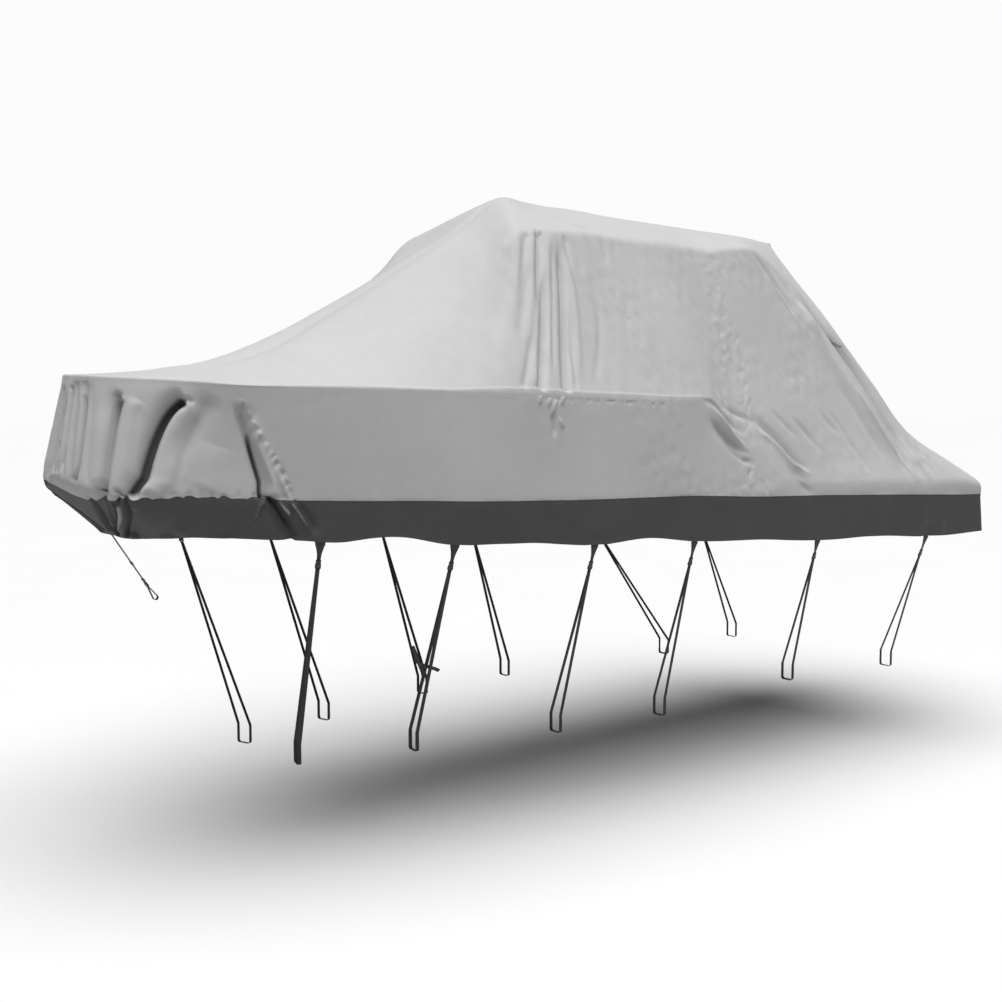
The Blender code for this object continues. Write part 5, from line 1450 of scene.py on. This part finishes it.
# %% [markdown]
# A panel's grid has columns at section places and rows at girth places. Both are spaced
# by steps in metres, so that faces stay even where the sections of the table don't.

# %% Grids of a panel
SHEET = 0.0016  # thickness of the coated cloth
SPACING_STEPS = 200  # places that an axis is measured at


def even_places(stretches, other, along_section):
    """Places along a section or girth axis, spaced by the steps of its stretches.

    stretches: rows of first place, last place and step in metres.
    """
    places = []
    for first, last, step in stretches:
        fine = np.linspace(first, last, SPACING_STEPS)
        run = run_along(half_shell(fine, other) if along_section else half_shell(other, fine))
        count = max(2, round(run[-1] / step))
        places.append(np.interp(np.linspace(0, run[-1], count + 1), run, fine)[:-1])
    return np.concatenate(places + [[stretches[-1][1]]])


# %% One panel from its grid
def panel(name, columns, rows, sides):
    """One cut panel as a sheet, from its columns (section places) and rows (girth places)."""
    mesh = bmesh.new()
    uv = mesh.loops.layers.uv.new("cloth")
    lift_layer = mesh.verts.layers.float.new("lift")
    seam_layer = mesh.verts.layers.float.new("seam")
    section, girth = np.meshgrid(columns, rows, indexing="ij")
    shape = section.shape
    drafted = half_shell(section.ravel(), girth.ravel()).reshape(shape + (3,))
    along = np.linalg.norm(np.diff(drafted, axis=0), axis=2).mean(axis=1)
    down = np.linalg.norm(np.diff(drafted, axis=1), axis=2).mean(axis=0)
    u = np.concatenate([[0.0], along.cumsum()])
    v = np.concatenate([[0.0], down.cumsum()])
    area = 0.0
    for side in sides:
        spread = laid(section.ravel(), girth.ravel(), side)
        points, _, lift, seam = sewn_surface(section.ravel(), spread, side)
        points = to_part(points).reshape(shape + (3,))
        lift, seam = lift.reshape(shape), seam.reshape(shape)
        verts = []
        for i in range(shape[0]):
            row = []
            for j in range(shape[1]):
                vert = mesh.verts.new(points[i, j])
                vert[lift_layer], vert[seam_layer] = lift[i, j], seam[i, j]
                row.append(vert)
            verts.append(row)
        for i in range(shape[0] - 1):
            for j in range(shape[1] - 1):
                cell = ((i, j), (i, j + 1), (i + 1, j + 1), (i + 1, j))
                cell = cell if side == STARBOARD else cell[::-1]
                face = mesh.faces.new([verts[a][b] for a, b in cell])
                face.smooth = True
                for loop, (a, b) in zip(face.loops, cell):
                    loop[uv].uv = (u[a], v[b] * side)
        edge_a = points[1:, :-1] - points[:-1, :-1]
        edge_b = points[:-1, 1:] - points[:-1, :-1]
        area += float(np.linalg.norm(np.cross(edge_a, edge_b), axis=2).sum())
    bmesh.ops.remove_doubles(mesh, verts=mesh.verts, dist=MERGE)
    for edge in mesh.edges:
        edge.smooth = not edge.is_boundary
    faces = len(mesh.faces)
    piece = new_piece(name, mesh)
    thick = piece.modifiers.new("thickness", "SOLIDIFY")
    thick.thickness = SHEET
    thick.offset = -1.0
    width, depth = float(u[-1]), float(v[-1]) * len(sides)
    print("%-24s %6d faces, %.2f square metres, cut from %.2f x %.2f m"
          % (name, faces, area, width, depth))
    return piece, area, (width, depth)


print("cloth %.1f mm thick" % (1000 * SHEET))

# %% [markdown]
# The steps below set how fine each panel is. Where pleats and puckers crowd, columns are
# 8 to 12 mm apart; on slack cloth, twice that.

# %% Cutting the panels
BOTH = (PORT, STARBOARD)
BOW_STEPS = ((0, 1, 0.008), (1, 3.6, 0.0085), (3.6, 4, 0.0065))
FORE_STEPS = ((4, 4.35, 0.007), (4.35, 9.2, 0.018), (9.2, 10.7, 0.0085), (10.7, 11, 0.012))
ROOF_STEPS = ((0, 4, 0.018), (4, 8.4, 0.026), (8.4, 11, 0.0112))
ROOF_ROWS = ((0, 1, 0.034), (1, 1.9, 0.021), (1.9, RAIL_SEAM, 0.006))
MID_STEPS = ((11, 12.5, 0.012), (12.5, 13, 0.0075))
MID_ROWS = ((0, 0.55, 0.034), (0.55, 1, 0.016), (1, 1.94, 0.014), (1.94, 2.04, 0.007),
            (2.04, 4, 0.014))
AFT_STEPS = ((13, 13.4, 0.0075), (13.4, 14.9, 0.020), (14.9, 16.4, 0.0135), (16.4, 20, 0.045))
# at_girth, at_section: where the steps along and down are measured.
PANEL_COLUMNS = ("name", "stands_for", "sections", "at_girth", "girths", "at_section",
                 "sides", "held")
PANELS = (
    ("roof_and_foredeck", "top_panel", ROOF_STEPS, 1.8, ROOF_ROWS, 9, BOTH, "draped"),
    ("bow_wall", "bow_panel", BOW_STEPS, 2.5, ((RAIL_SEAM, 2.4, 0.009), (2.4, 4, 0.012)), 3,
     BOTH, "draped"),
    ("side_wall_port", "side_panel_port", FORE_STEPS, 2.5, ((RAIL_SEAM, 4, 0.0095),), 7,
     (PORT,), "draped"),
    ("side_wall_starboard", "side_panel_starboard", FORE_STEPS, 2.5, ((RAIL_SEAM, 4, 0.016),), 7,
     (STARBOARD,), "draped"),
    ("middle_section", "mid_panel", MID_STEPS, 1.9, MID_ROWS, 12, BOTH, "draped"),
    ("stern_section", "aft_panel", AFT_STEPS, 2.2, ((0, 1, 0.036), (1, 4, 0.0195)), 15,
     BOTH, "draped"),
)
SKIRTS = (
    ("bow_band", "bow_skirt", BOW_STEPS, 4.3, ((SKIRT, HEM, 0.0115),), 2, BOTH, "hung"),
    ("side_band_port", "side_skirt_port", ((4, 4.4, 0.007), (4.4, 13, 0.017)), 4.3,
     ((SKIRT, HEM, 0.014),), 9, (PORT,), "hung"),
    ("side_band_starboard", "side_skirt_starboard", ((4, 13, 0.018),), 4.3,
     ((SKIRT, HEM, 0.016),), 9, (STARBOARD,), "hung"),
    ("stern_band", "stern_skirt", ((13, 20, 0.024),), 4.3, ((SKIRT, HEM, 0.016),), 15,
     BOTH, "hung"),
)

cloth_pieces = {}
for row in PANELS + SKIRTS:
    cut = dict(zip(PANEL_COLUMNS, row))
    columns = even_places(cut["sections"], cut["at_girth"], True)
    rows = even_places(cut["girths"], cut["at_section"], False)
    piece, area, flat = panel(cut["name"], columns, rows, cut["sides"])
    cloth_pieces[cut["name"]] = piece
    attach(piece, "root")
    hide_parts(cut["stands_for"])
print("cloth pieces:", len(cloth_pieces))

# %% [markdown]
# ## Stitches
#
# The cross seams, the top of the skirt and the hem are sewn with a lockstitch in thread
# of the cloth's own colour. Thousands of like stitches along a path are what Geometry
# Nodes do best: the tree resamples a line to the stitch pitch, sets one short four-sided
# length of thread on each point, turned along the line, and realizes them into one mesh.

# %% A tree that sews
STITCH_PITCH = 0.0078
STITCH_LENGTH = 0.0054
THREAD_RADIUS = 0.0008
THREAD_SIDES = 4


def sewing_tree():
    tree = bpy.data.node_groups.new("sew a line", "GeometryNodeTree")
    face = tree.interface
    face.new_socket("Geometry", in_out="INPUT", socket_type="NodeSocketGeometry")
    for name in ("Pitch", "Stitch length", "Thread"):
        face.new_socket(name, in_out="INPUT", socket_type="NodeSocketFloat")
    face.new_socket("Finish", in_out="INPUT", socket_type="NodeSocketMaterial")
    face.new_socket("Geometry", in_out="OUTPUT", socket_type="NodeSocketGeometry")
    enter, leave, line, even, tangent, turn, thread, stitch, real, finish = (
        tree.nodes.new(kind) for kind in (
            "NodeGroupInput", "NodeGroupOutput", "GeometryNodeMeshToCurve",
            "GeometryNodeResampleCurve", "GeometryNodeInputTangent",
            "FunctionNodeAlignRotationToVector", "GeometryNodeMeshCylinder",
            "GeometryNodeInstanceOnPoints", "GeometryNodeRealizeInstances",
            "GeometryNodeSetMaterial",
        )
    )
    even.mode = "LENGTH"
    turn.axis = "Z"
    thread.fill_type = "NGON"
    thread.inputs["Vertices"].default_value = THREAD_SIDES
    for source, out, target, into in (
        (enter, "Geometry", line, "Mesh"),
        (line, "Curve", even, "Curve"),
        (enter, "Pitch", even, "Length"),
        (tangent, "Tangent", turn, "Vector"),
        (enter, "Thread", thread, "Radius"),
        (enter, "Stitch length", thread, "Depth"),
        (even, "Curve", stitch, "Points"),
        (thread, "Mesh", stitch, "Instance"),
        (turn, "Rotation", stitch, "Rotation"),
        (stitch, "Instances", real, "Geometry"),
        (real, "Geometry", finish, "Geometry"),
        (enter, "Finish", finish, "Material"),
        (finish, "Geometry", leave, "Geometry"),
    ):
        tree.links.new(source.outputs[out], target.inputs[into])
    return tree


SEWING = sewing_tree()
print("nodes in the sewing tree:", len(SEWING.nodes))


# %% Sewing along lines
def sew(name, lines, finish):
    """Stitches along lines on the cloth, as one piece."""
    mesh = bmesh.new()
    for line in lines:
        verts = [mesh.verts.new(place) for place in to_part(line)]
        for a, b in zip(verts, verts[1:]):
            mesh.edges.new((a, b))
    guide = new_piece(name + "_line", mesh)
    sewing = guide.modifiers.new("sewing", "NODES")
    sewing.node_group = SEWING
    values = {"Pitch": STITCH_PITCH, "Stitch length": STITCH_LENGTH,
              "Thread": THREAD_RADIUS, "Finish": finish}
    for item in SEWING.interface.items_tree:
        if item.in_out == "INPUT" and item.name in values:
            sewing[item.identifier] = values[item.name]
    depsgraph = bpy.context.evaluated_depsgraph_get()
    data = bpy.data.meshes.new_from_object(guide.evaluated_get(depsgraph), depsgraph=depsgraph)
    bpy.data.objects.remove(guide)
    piece = add_object(name, data)
    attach(piece, "root")
    print("%-20s %6d faces" % (name, len(data.polygons)))

# %% [markdown]
# ## Shader maths as plain sums
#
# A material is easier to read as a sum than as a web of nodes. One small class wraps a
# node's output, and its operators add the Math nodes. Any other node comes from one
# method, which takes the node's type, its settings and its inputs.

# %% A socket that does sums
class Wire:
    """An output of a node, for sums: wire * 2 + other adds the Math nodes."""

    def __init__(self, nodes, socket):
        self.nodes, self.socket = nodes, socket

    def sum(self, operation, first, second):
        return self.nodes.node("ShaderNodeMath", {"operation": operation}, {0: first, 1: second})

    def __add__(self, other):
        return self.sum("ADD", self, other)

    def __sub__(self, other):
        return self.sum("SUBTRACT", self, other)

    def __mul__(self, other):
        return self.sum("MULTIPLY", self, other)

    def __rsub__(self, other):
        return self.sum("SUBTRACT", other, self)

    __radd__ = __add__
    __rmul__ = __mul__


print("a wire adds, subtracts and multiplies")


# %% A material and its nodes
class Finish:
    """A new material and the nodes in it."""

    def __init__(self, name, colour):
        self.material = bpy.data.materials.new(name)
        self.material.use_nodes = True
        self.material.diffuse_color = (*colour, 1.0)
        self.tree = self.material.node_tree
        self.shader = self.tree.nodes["Principled BSDF"]

    def node(self, kind, settings=None, values=None, output=0):
        """A node with its settings, and its sockets filled with numbers or wires."""
        node = self.tree.nodes.new(kind)
        for name, value in (settings or {}).items():
            setattr(node, name, value)
        for socket, value in (values or {}).items():
            self.fill(node.inputs[socket], value)
        return Wire(self, node.outputs[output])

    def fill(self, socket, value):
        if isinstance(value, Wire):
            self.tree.links.new(value.socket, socket)
        else:
            socket.default_value = value

    def surface(self, **values):
        for name, value in values.items():
            self.fill(self.shader.inputs[name.replace("_", " ").title()], value)

    def place(self):
        return self.node("ShaderNodeTexCoord", output="Object")

    def on_cloth(self):
        """Metres across and along a piece of cloth or webbing, from its UV map."""
        uv = self.node("ShaderNodeUVMap", {"uv_map": "cloth"})
        across = self.node("ShaderNodeSeparateXYZ", None, {0: uv})
        return across, Wire(self, across.socket.node.outputs[1])

    def attribute(self, name):
        return self.node("ShaderNodeAttribute", {"attribute_name": name}, output="Fac")

    def noise(self, where, scale, detail=2.0, rough=0.5):
        values = {"Vector": where, "Scale": scale, "Detail": detail, "Roughness": rough}
        return self.node("ShaderNodeTexNoise", None, values)

    def stripes(self, value, pitch):
        """0 to 1 and back over each pitch."""
        wave = self.node("ShaderNodeMath", {"operation": "SINE"}, {0: value * (2 * pi / pitch)})
        return wave * 0.5 + 0.5

    def between(self, value, low, high):
        """0 where a value is low or less, 1 where it is high or more."""
        settings = {"interpolation_type": "SMOOTHSTEP", "clamp": True}
        values = {"Value": value, "From Min": low, "From Max": high}
        return self.node("ShaderNodeMapRange", settings, values)

    def mix(self, part, first, second):
        """From one colour to another."""
        settings = {"data_type": "RGBA", "blend_type": "MIX"}
        return self.node("ShaderNodeMix", settings, {0: part, 6: first, 7: second}, output=2)

    def bump(self, height, distance, strength=1.0, under=None):
        values = {"Height": height, "Distance": distance, "Strength": strength}
        if under is not None:
            values["Normal"] = under
        return self.node("ShaderNodeBump", None, values)


def shade(colour, factor=1.0):
    return tuple(part * factor for part in colour) + (1.0,)


print("a finish has:", ", ".join(name for name in vars(Finish) if name[0] != "_"))

# %% [markdown]
# ## Coated cloth
#
# Boat covers are woven from solution-dyed polyester with a thin coating. From a step
# away it reads as an even matt colour; close by, a plain weave shows, with a slight mottle
# where the coating is thicker, and dust settles along seams. Shade is painted into the
# colour in the folds, darkest on the floor of a deep fold, and the dark cloth has a painted
# highlight along its ridges.

# %% Cloth
YARN = 0.0011  # pitch of the weave
LIGHT_GREY = (0.600, 0.600, 0.602)
DARK_GREY = (0.093, 0.094, 0.097)
# the pale grey of the painted highlight along ridges
CREST_HIGHLIGHT_GREY = (0.50, 0.50, 0.50)
PAINTED_FOLD_SHADE = 0.26  # painted shade makes the floor of a deep fold this much darker
PALER = 1.18  # the mottle runs from this shade of the colour
DARKER = 0.82  # to this one


def coated_cloth(name, colour, mottle, seam_dirt_and_trough_shade, crest_highlight_weight, sheen_rough):
    """Cloth whose mottle follows its weave, with dust by its seams, painted shade in its folds and
    a painted highlight on its ridges.
    """
    finish = Finish(name, colour)
    across, along = finish.on_cloth()
    weave = finish.stripes(across, YARN) * finish.stripes(along, YARN)
    place = finish.place()
    broad = finish.noise(place, scale=2.2, detail=3.0, rough=0.55)
    cloudy = finish.noise(place, scale=14.0, detail=4.0, rough=0.6)
    grain = finish.noise(place, scale=900.0, detail=1.0)
    creased = finish.noise(place, scale=38.0, detail=4.0, rough=0.55)
    seam, lift = finish.attribute("seam"), finish.attribute("lift")
    beside_seam = 1.0 - finish.between(seam, 0.004, 0.030)
    # Painted shade: with a weight above 0 the cloth is darker in shallow troughs; with one below 0,
    # as on the dark cloth, it is paler there.
    low = 1.0 - finish.between(lift, -0.030, -0.004)
    # Painted shade: the floor of a deep fold is painted much darker, where little light gets in.
    clear_of_fold_shade = finish.between(lift, -0.085, -0.030)
    # Painted highlight: ridges of the cloth are mixed towards a pale grey, as light along them.
    crest = finish.between(lift, 0.010, 0.024) * crest_highlight_weight
    tone = (broad - 0.5) * (1.2 * mottle) + (cloudy - 0.5) * mottle
    tone = tone + (weave - 0.25) * (0.5 * mottle)
    # Dust darkens the cloth by its seams, and painted shade darkens its shallow troughs; a weight
    # below 0 makes both paler.
    tone = tone - beside_seam * (0.35 * seam_dirt_and_trough_shade) - low * (0.8 * seam_dirt_and_trough_shade)
    tone = finish.between(tone + 0.5, 0.0, 1.0)
    fine = finish.bump(weave * 0.7 + grain * 0.3, distance=0.0003, strength=0.5)
    handle = finish.bump(creased, distance=0.0022, strength=0.5, under=fine)
    mottled = finish.mix(tone, shade(colour, DARKER), shade(colour, PALER))
    lit = finish.mix(crest, mottled, shade(CREST_HIGHLIGHT_GREY))
    finish.surface(
        base_color=finish.mix(clear_of_fold_shade, shade(colour, PAINTED_FOLD_SHADE), lit),
        roughness=(cloudy - 0.5) * 0.12 + sheen_rough,
        normal=handle,
    )
    finish.shader.inputs["Specular IOR Level"].default_value = 0.35
    return finish.material


# The dark cloth gets a painted highlight on its ridges; the light cloth gets painted shade in its
# troughs.
light_cloth = coated_cloth("light cloth", LIGHT_GREY, 0.14, 0.20, 0.0, 0.78)
dark_cloth = coated_cloth("dark cloth", DARK_GREY, 0.40, -0.25, 0.7, 0.80)
print("cloth weave:", round(YARN * 1000, 2), "mm between yarns")

# %% [markdown]
# ## Webbing, plastic and thread
#
# Polyester webbing is woven in a herringbone, which its own UV map carries along each
# strap. Moulded acetal is smooth with a faint grain. Thread only needs its twist.

# %% Webbing, plastic and thread
RIB = 0.0021  # pitch of the ribs
HERRINGBONE = 0.0042  # width of one row of them


def woven_webbing():
    black = (0.014, 0.014, 0.015)
    finish = Finish("webbing", black)
    across, along = finish.on_cloth()
    zigzag = finish.node("ShaderNodeMath", {"operation": "PINGPONG"}, {0: across, 1: HERRINGBONE})
    ribs = finish.stripes(along + zigzag, RIB)
    worn = finish.noise(finish.place(), scale=60.0, detail=3.0, rough=0.6)
    tone = finish.between(ribs * 0.5 + worn * 0.6, 0.2, 1.0)
    finish.surface(
        base_color=finish.mix(tone, shade(black, 0.6), shade(black, 1.9)),
        roughness=worn * 0.2 + 0.52,
        normal=finish.bump(ribs, distance=0.0003, strength=0.7),
    )
    return finish.material


def moulded_plastic():
    black = (0.016, 0.016, 0.017)
    finish = Finish("buckle plastic", black)
    grain = finish.noise(finish.place(), scale=700.0)
    scuff = finish.noise(finish.place(), scale=90.0, detail=5.0, rough=0.65)
    tone = finish.between(scuff, 0.35, 0.75)
    finish.surface(
        base_color=finish.mix(tone, shade(black, 0.8), shade(black, 1.8)),
        roughness=scuff * 0.25 + 0.28,
        normal=finish.bump(grain, distance=0.0001, strength=0.4),
    )
    return finish.material


def spun_thread(name, colour):
    finish = Finish(name, colour)
    twist = finish.noise(finish.place(), scale=1500.0, detail=1.0)
    finish.surface(
        base_color=finish.mix(twist, shade(colour, 0.8), shade(colour, 1.15)),
        roughness=0.6 + twist * 0.1,
    )
    return finish.material


webbing_finish = woven_webbing()
plastic_finish = moulded_plastic()
light_thread = spun_thread("light thread", (0.56, 0.56, 0.56))
dark_thread = spun_thread("dark thread", (0.06, 0.06, 0.065))
print("webbing ribs:", RIB * 1000, "mm apart")

# %% [markdown]
# Each piece has one finish all over, so its mesh needs one material slot.

# %% Dressing the pieces
def dress(piece, material):
    """Give a piece its one finish."""
    piece.data.materials.clear()
    piece.data.materials.append(material)


for name, piece in cloth_pieces.items():
    dress(piece, dark_cloth if name.split("_")[1] == "band" else light_cloth)
for piece in [*loops.values(), *tabs.values()]:
    dress(piece, webbing_finish)
for piece in buckles.values():
    dress(piece, plastic_finish)
print("finishes:", ", ".join(m.name for m in bpy.data.materials if m.use_nodes))

# %% [markdown]
# A felled seam has two rows of stitches, one on each side of its middle. The rows follow
# the finished cloth, folds and all, so each is read off the same surface as the panels.

# %% Sewing the seams
ROW_APART = 0.006  # half the distance between the two rows of a felled seam
LONG_STEPS = 1100  # straight lengths in a row that runs fore and aft
CROSS_STEPS = 260  # and in one that runs across
END_GAP = 0.02  # a row stops this far short of its end, in places
THREAD_PROUD = 0.4  # how far a thread's middle stands off the cloth, in radii


def beside(section, girth, side_step, along_section):
    """How far a place must move in girth or section to lie that many metres away."""
    small = 0.02
    here = half_shell(section, girth)[0]
    there = half_shell(section + small * along_section, girth + small * (not along_section))[0]
    return side_step * small / float(np.linalg.norm(there - here))


def thread_line(section, girth, side):
    """The middle of a row of stitches laid on the finished cloth."""
    points, out, _, _ = sewn_surface(section, girth, side)
    return points + out * THREAD_RADIUS * THREAD_PROUD


def long_row(girth, offset, side):
    """Stitches along a seam that runs fore and aft, a little above or below it."""
    section = np.linspace(END_GAP, TRANSOM - END_GAP, LONG_STEPS)
    shift = np.array([beside(s, girth, offset, False) for s in section])
    spread = laid(section, girth, side) + shift
    return thread_line(section, spread, side)


def cross_row(section, top, bottom, offset, side):
    """Stitches down a cross seam, a little before or behind it."""
    girth = np.linspace(top + END_GAP, bottom - END_GAP, CROSS_STEPS)
    shift = np.array([beside(section, g, offset, True) for g in girth])
    return thread_line(section + shift, girth, side)


light_lines, dark_lines = [], []
for side in BOTH:
    light_lines.append(long_row(SKIRT, -ROW_APART, side))
    dark_lines.append(long_row(SKIRT, ROW_APART, side))
    dark_lines.append(long_row(HEM, -0.8 * HEM_BAND, side))
    for section, top, bottom, _ in CROSS_SEAMS:
        for offset in (-ROW_APART, ROW_APART):
            light_lines.append(cross_row(section, top, bottom, offset, side))
sew("seam_stitches", light_lines, light_thread)
sew("skirt_stitches", dark_lines, dark_thread)

# %% [markdown]
# ## Floor and light
#
# A cover this long is photographed under one wide soft light overhead, with pale ground
# that throws some of it back up under the hem. The sides are lit mostly by that, which
# is why they read so much darker than the roof. A second light from below stands for that
# bounce. It shines through the floor, and the floor adds no bounce of its own.

# %% Floor
FLOOR_HEIGHT = -3.988
FLOOR_HALF = 60.0

floor_mesh = bmesh.new()
corners = [(x * FLOOR_HALF, y * FLOOR_HALF) for x, y in ((-1, -1), (1, -1), (1, 1), (-1, 1))]
floor_mesh.faces.new([floor_mesh.verts.new((x, y, FLOOR_HEIGHT)) for x, y in corners])
floor = new_piece("floor", floor_mesh)
floor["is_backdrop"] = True
floor.visible_diffuse = False
floor.visible_shadow = False
paint = Finish("pale floor", (0.86, 0.86, 0.86))
dusting = paint.noise(paint.place(), scale=0.6, detail=4.0)
pale = paint.mix(dusting, (0.85, 0.85, 0.85, 1), (0.88, 0.88, 0.88, 1))
paint.surface(base_color=pale, roughness=0.9)
dress(floor, paint.material)
print("floor at %.3f m" % FLOOR_HEIGHT)

# %% Light
KEY_STRENGTH = 3.77  # watts a square metre from the soft light overhead
KEY_SPREAD = 75.0  # degrees across
KEY_LEAN = (6.0, 10.0)  # degrees towards the bow and towards port
BOUNCE_STRENGTH = 1.52  # from the pale ground, all round
BOUNCE_SPREAD = 170.0
STRAIGHT_UP = 180.0
BACKDROP_STRENGTH = 0.97

world = bpy.data.worlds.new("studio")
bpy.context.scene.world = world
world.use_nodes = True
background = world.node_tree.nodes["Background"]
background.inputs["Color"].default_value = (1.0, 1.0, 1.0, 1.0)
background.inputs["Strength"].default_value = BACKDROP_STRENGTH
world.cycles_visibility.diffuse = False
world.cycles_visibility.glossy = False


def soft_light(name, lean, spread, strength):
    """A wide light far off, from overhead but for its lean by degrees to -X and to -Y."""
    lamp = bpy.data.lights.new(name, "SUN")
    lamp.angle = radians(spread)
    lamp.energy = strength
    thing = add_object(name, lamp)
    thing.rotation_euler = (radians(lean[1]), radians(-lean[0]), 0.0)


soft_light("overhead", KEY_LEAN, KEY_SPREAD, KEY_STRENGTH)
soft_light("bounce", (0.0, STRAIGHT_UP), BOUNCE_SPREAD, BOUNCE_STRENGTH)
bpy.context.scene.view_settings.view_transform = "Standard"
print("overhead light", KEY_STRENGTH, "and bounce", BOUNCE_STRENGTH, "watts a square metre")

# %% [markdown]
# ## Sizes at the end
#
# How far the dressed cover's box reaches past the frame's box, below and above on each axis.
# The dressed cover must stay as large as the frame says, give or take a fold.

# %% Sizes
visual_box = [list(corner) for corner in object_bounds()]
for axis, name in enumerate("XYZ"):
    grown = [visual_box[end][axis] - cad_box[end][axis] for end in (0, 1)]
    print("%s: %+.1f mm below, %+.1f mm above" % (name, grown[0] * 1000, grown[1] * 1000))
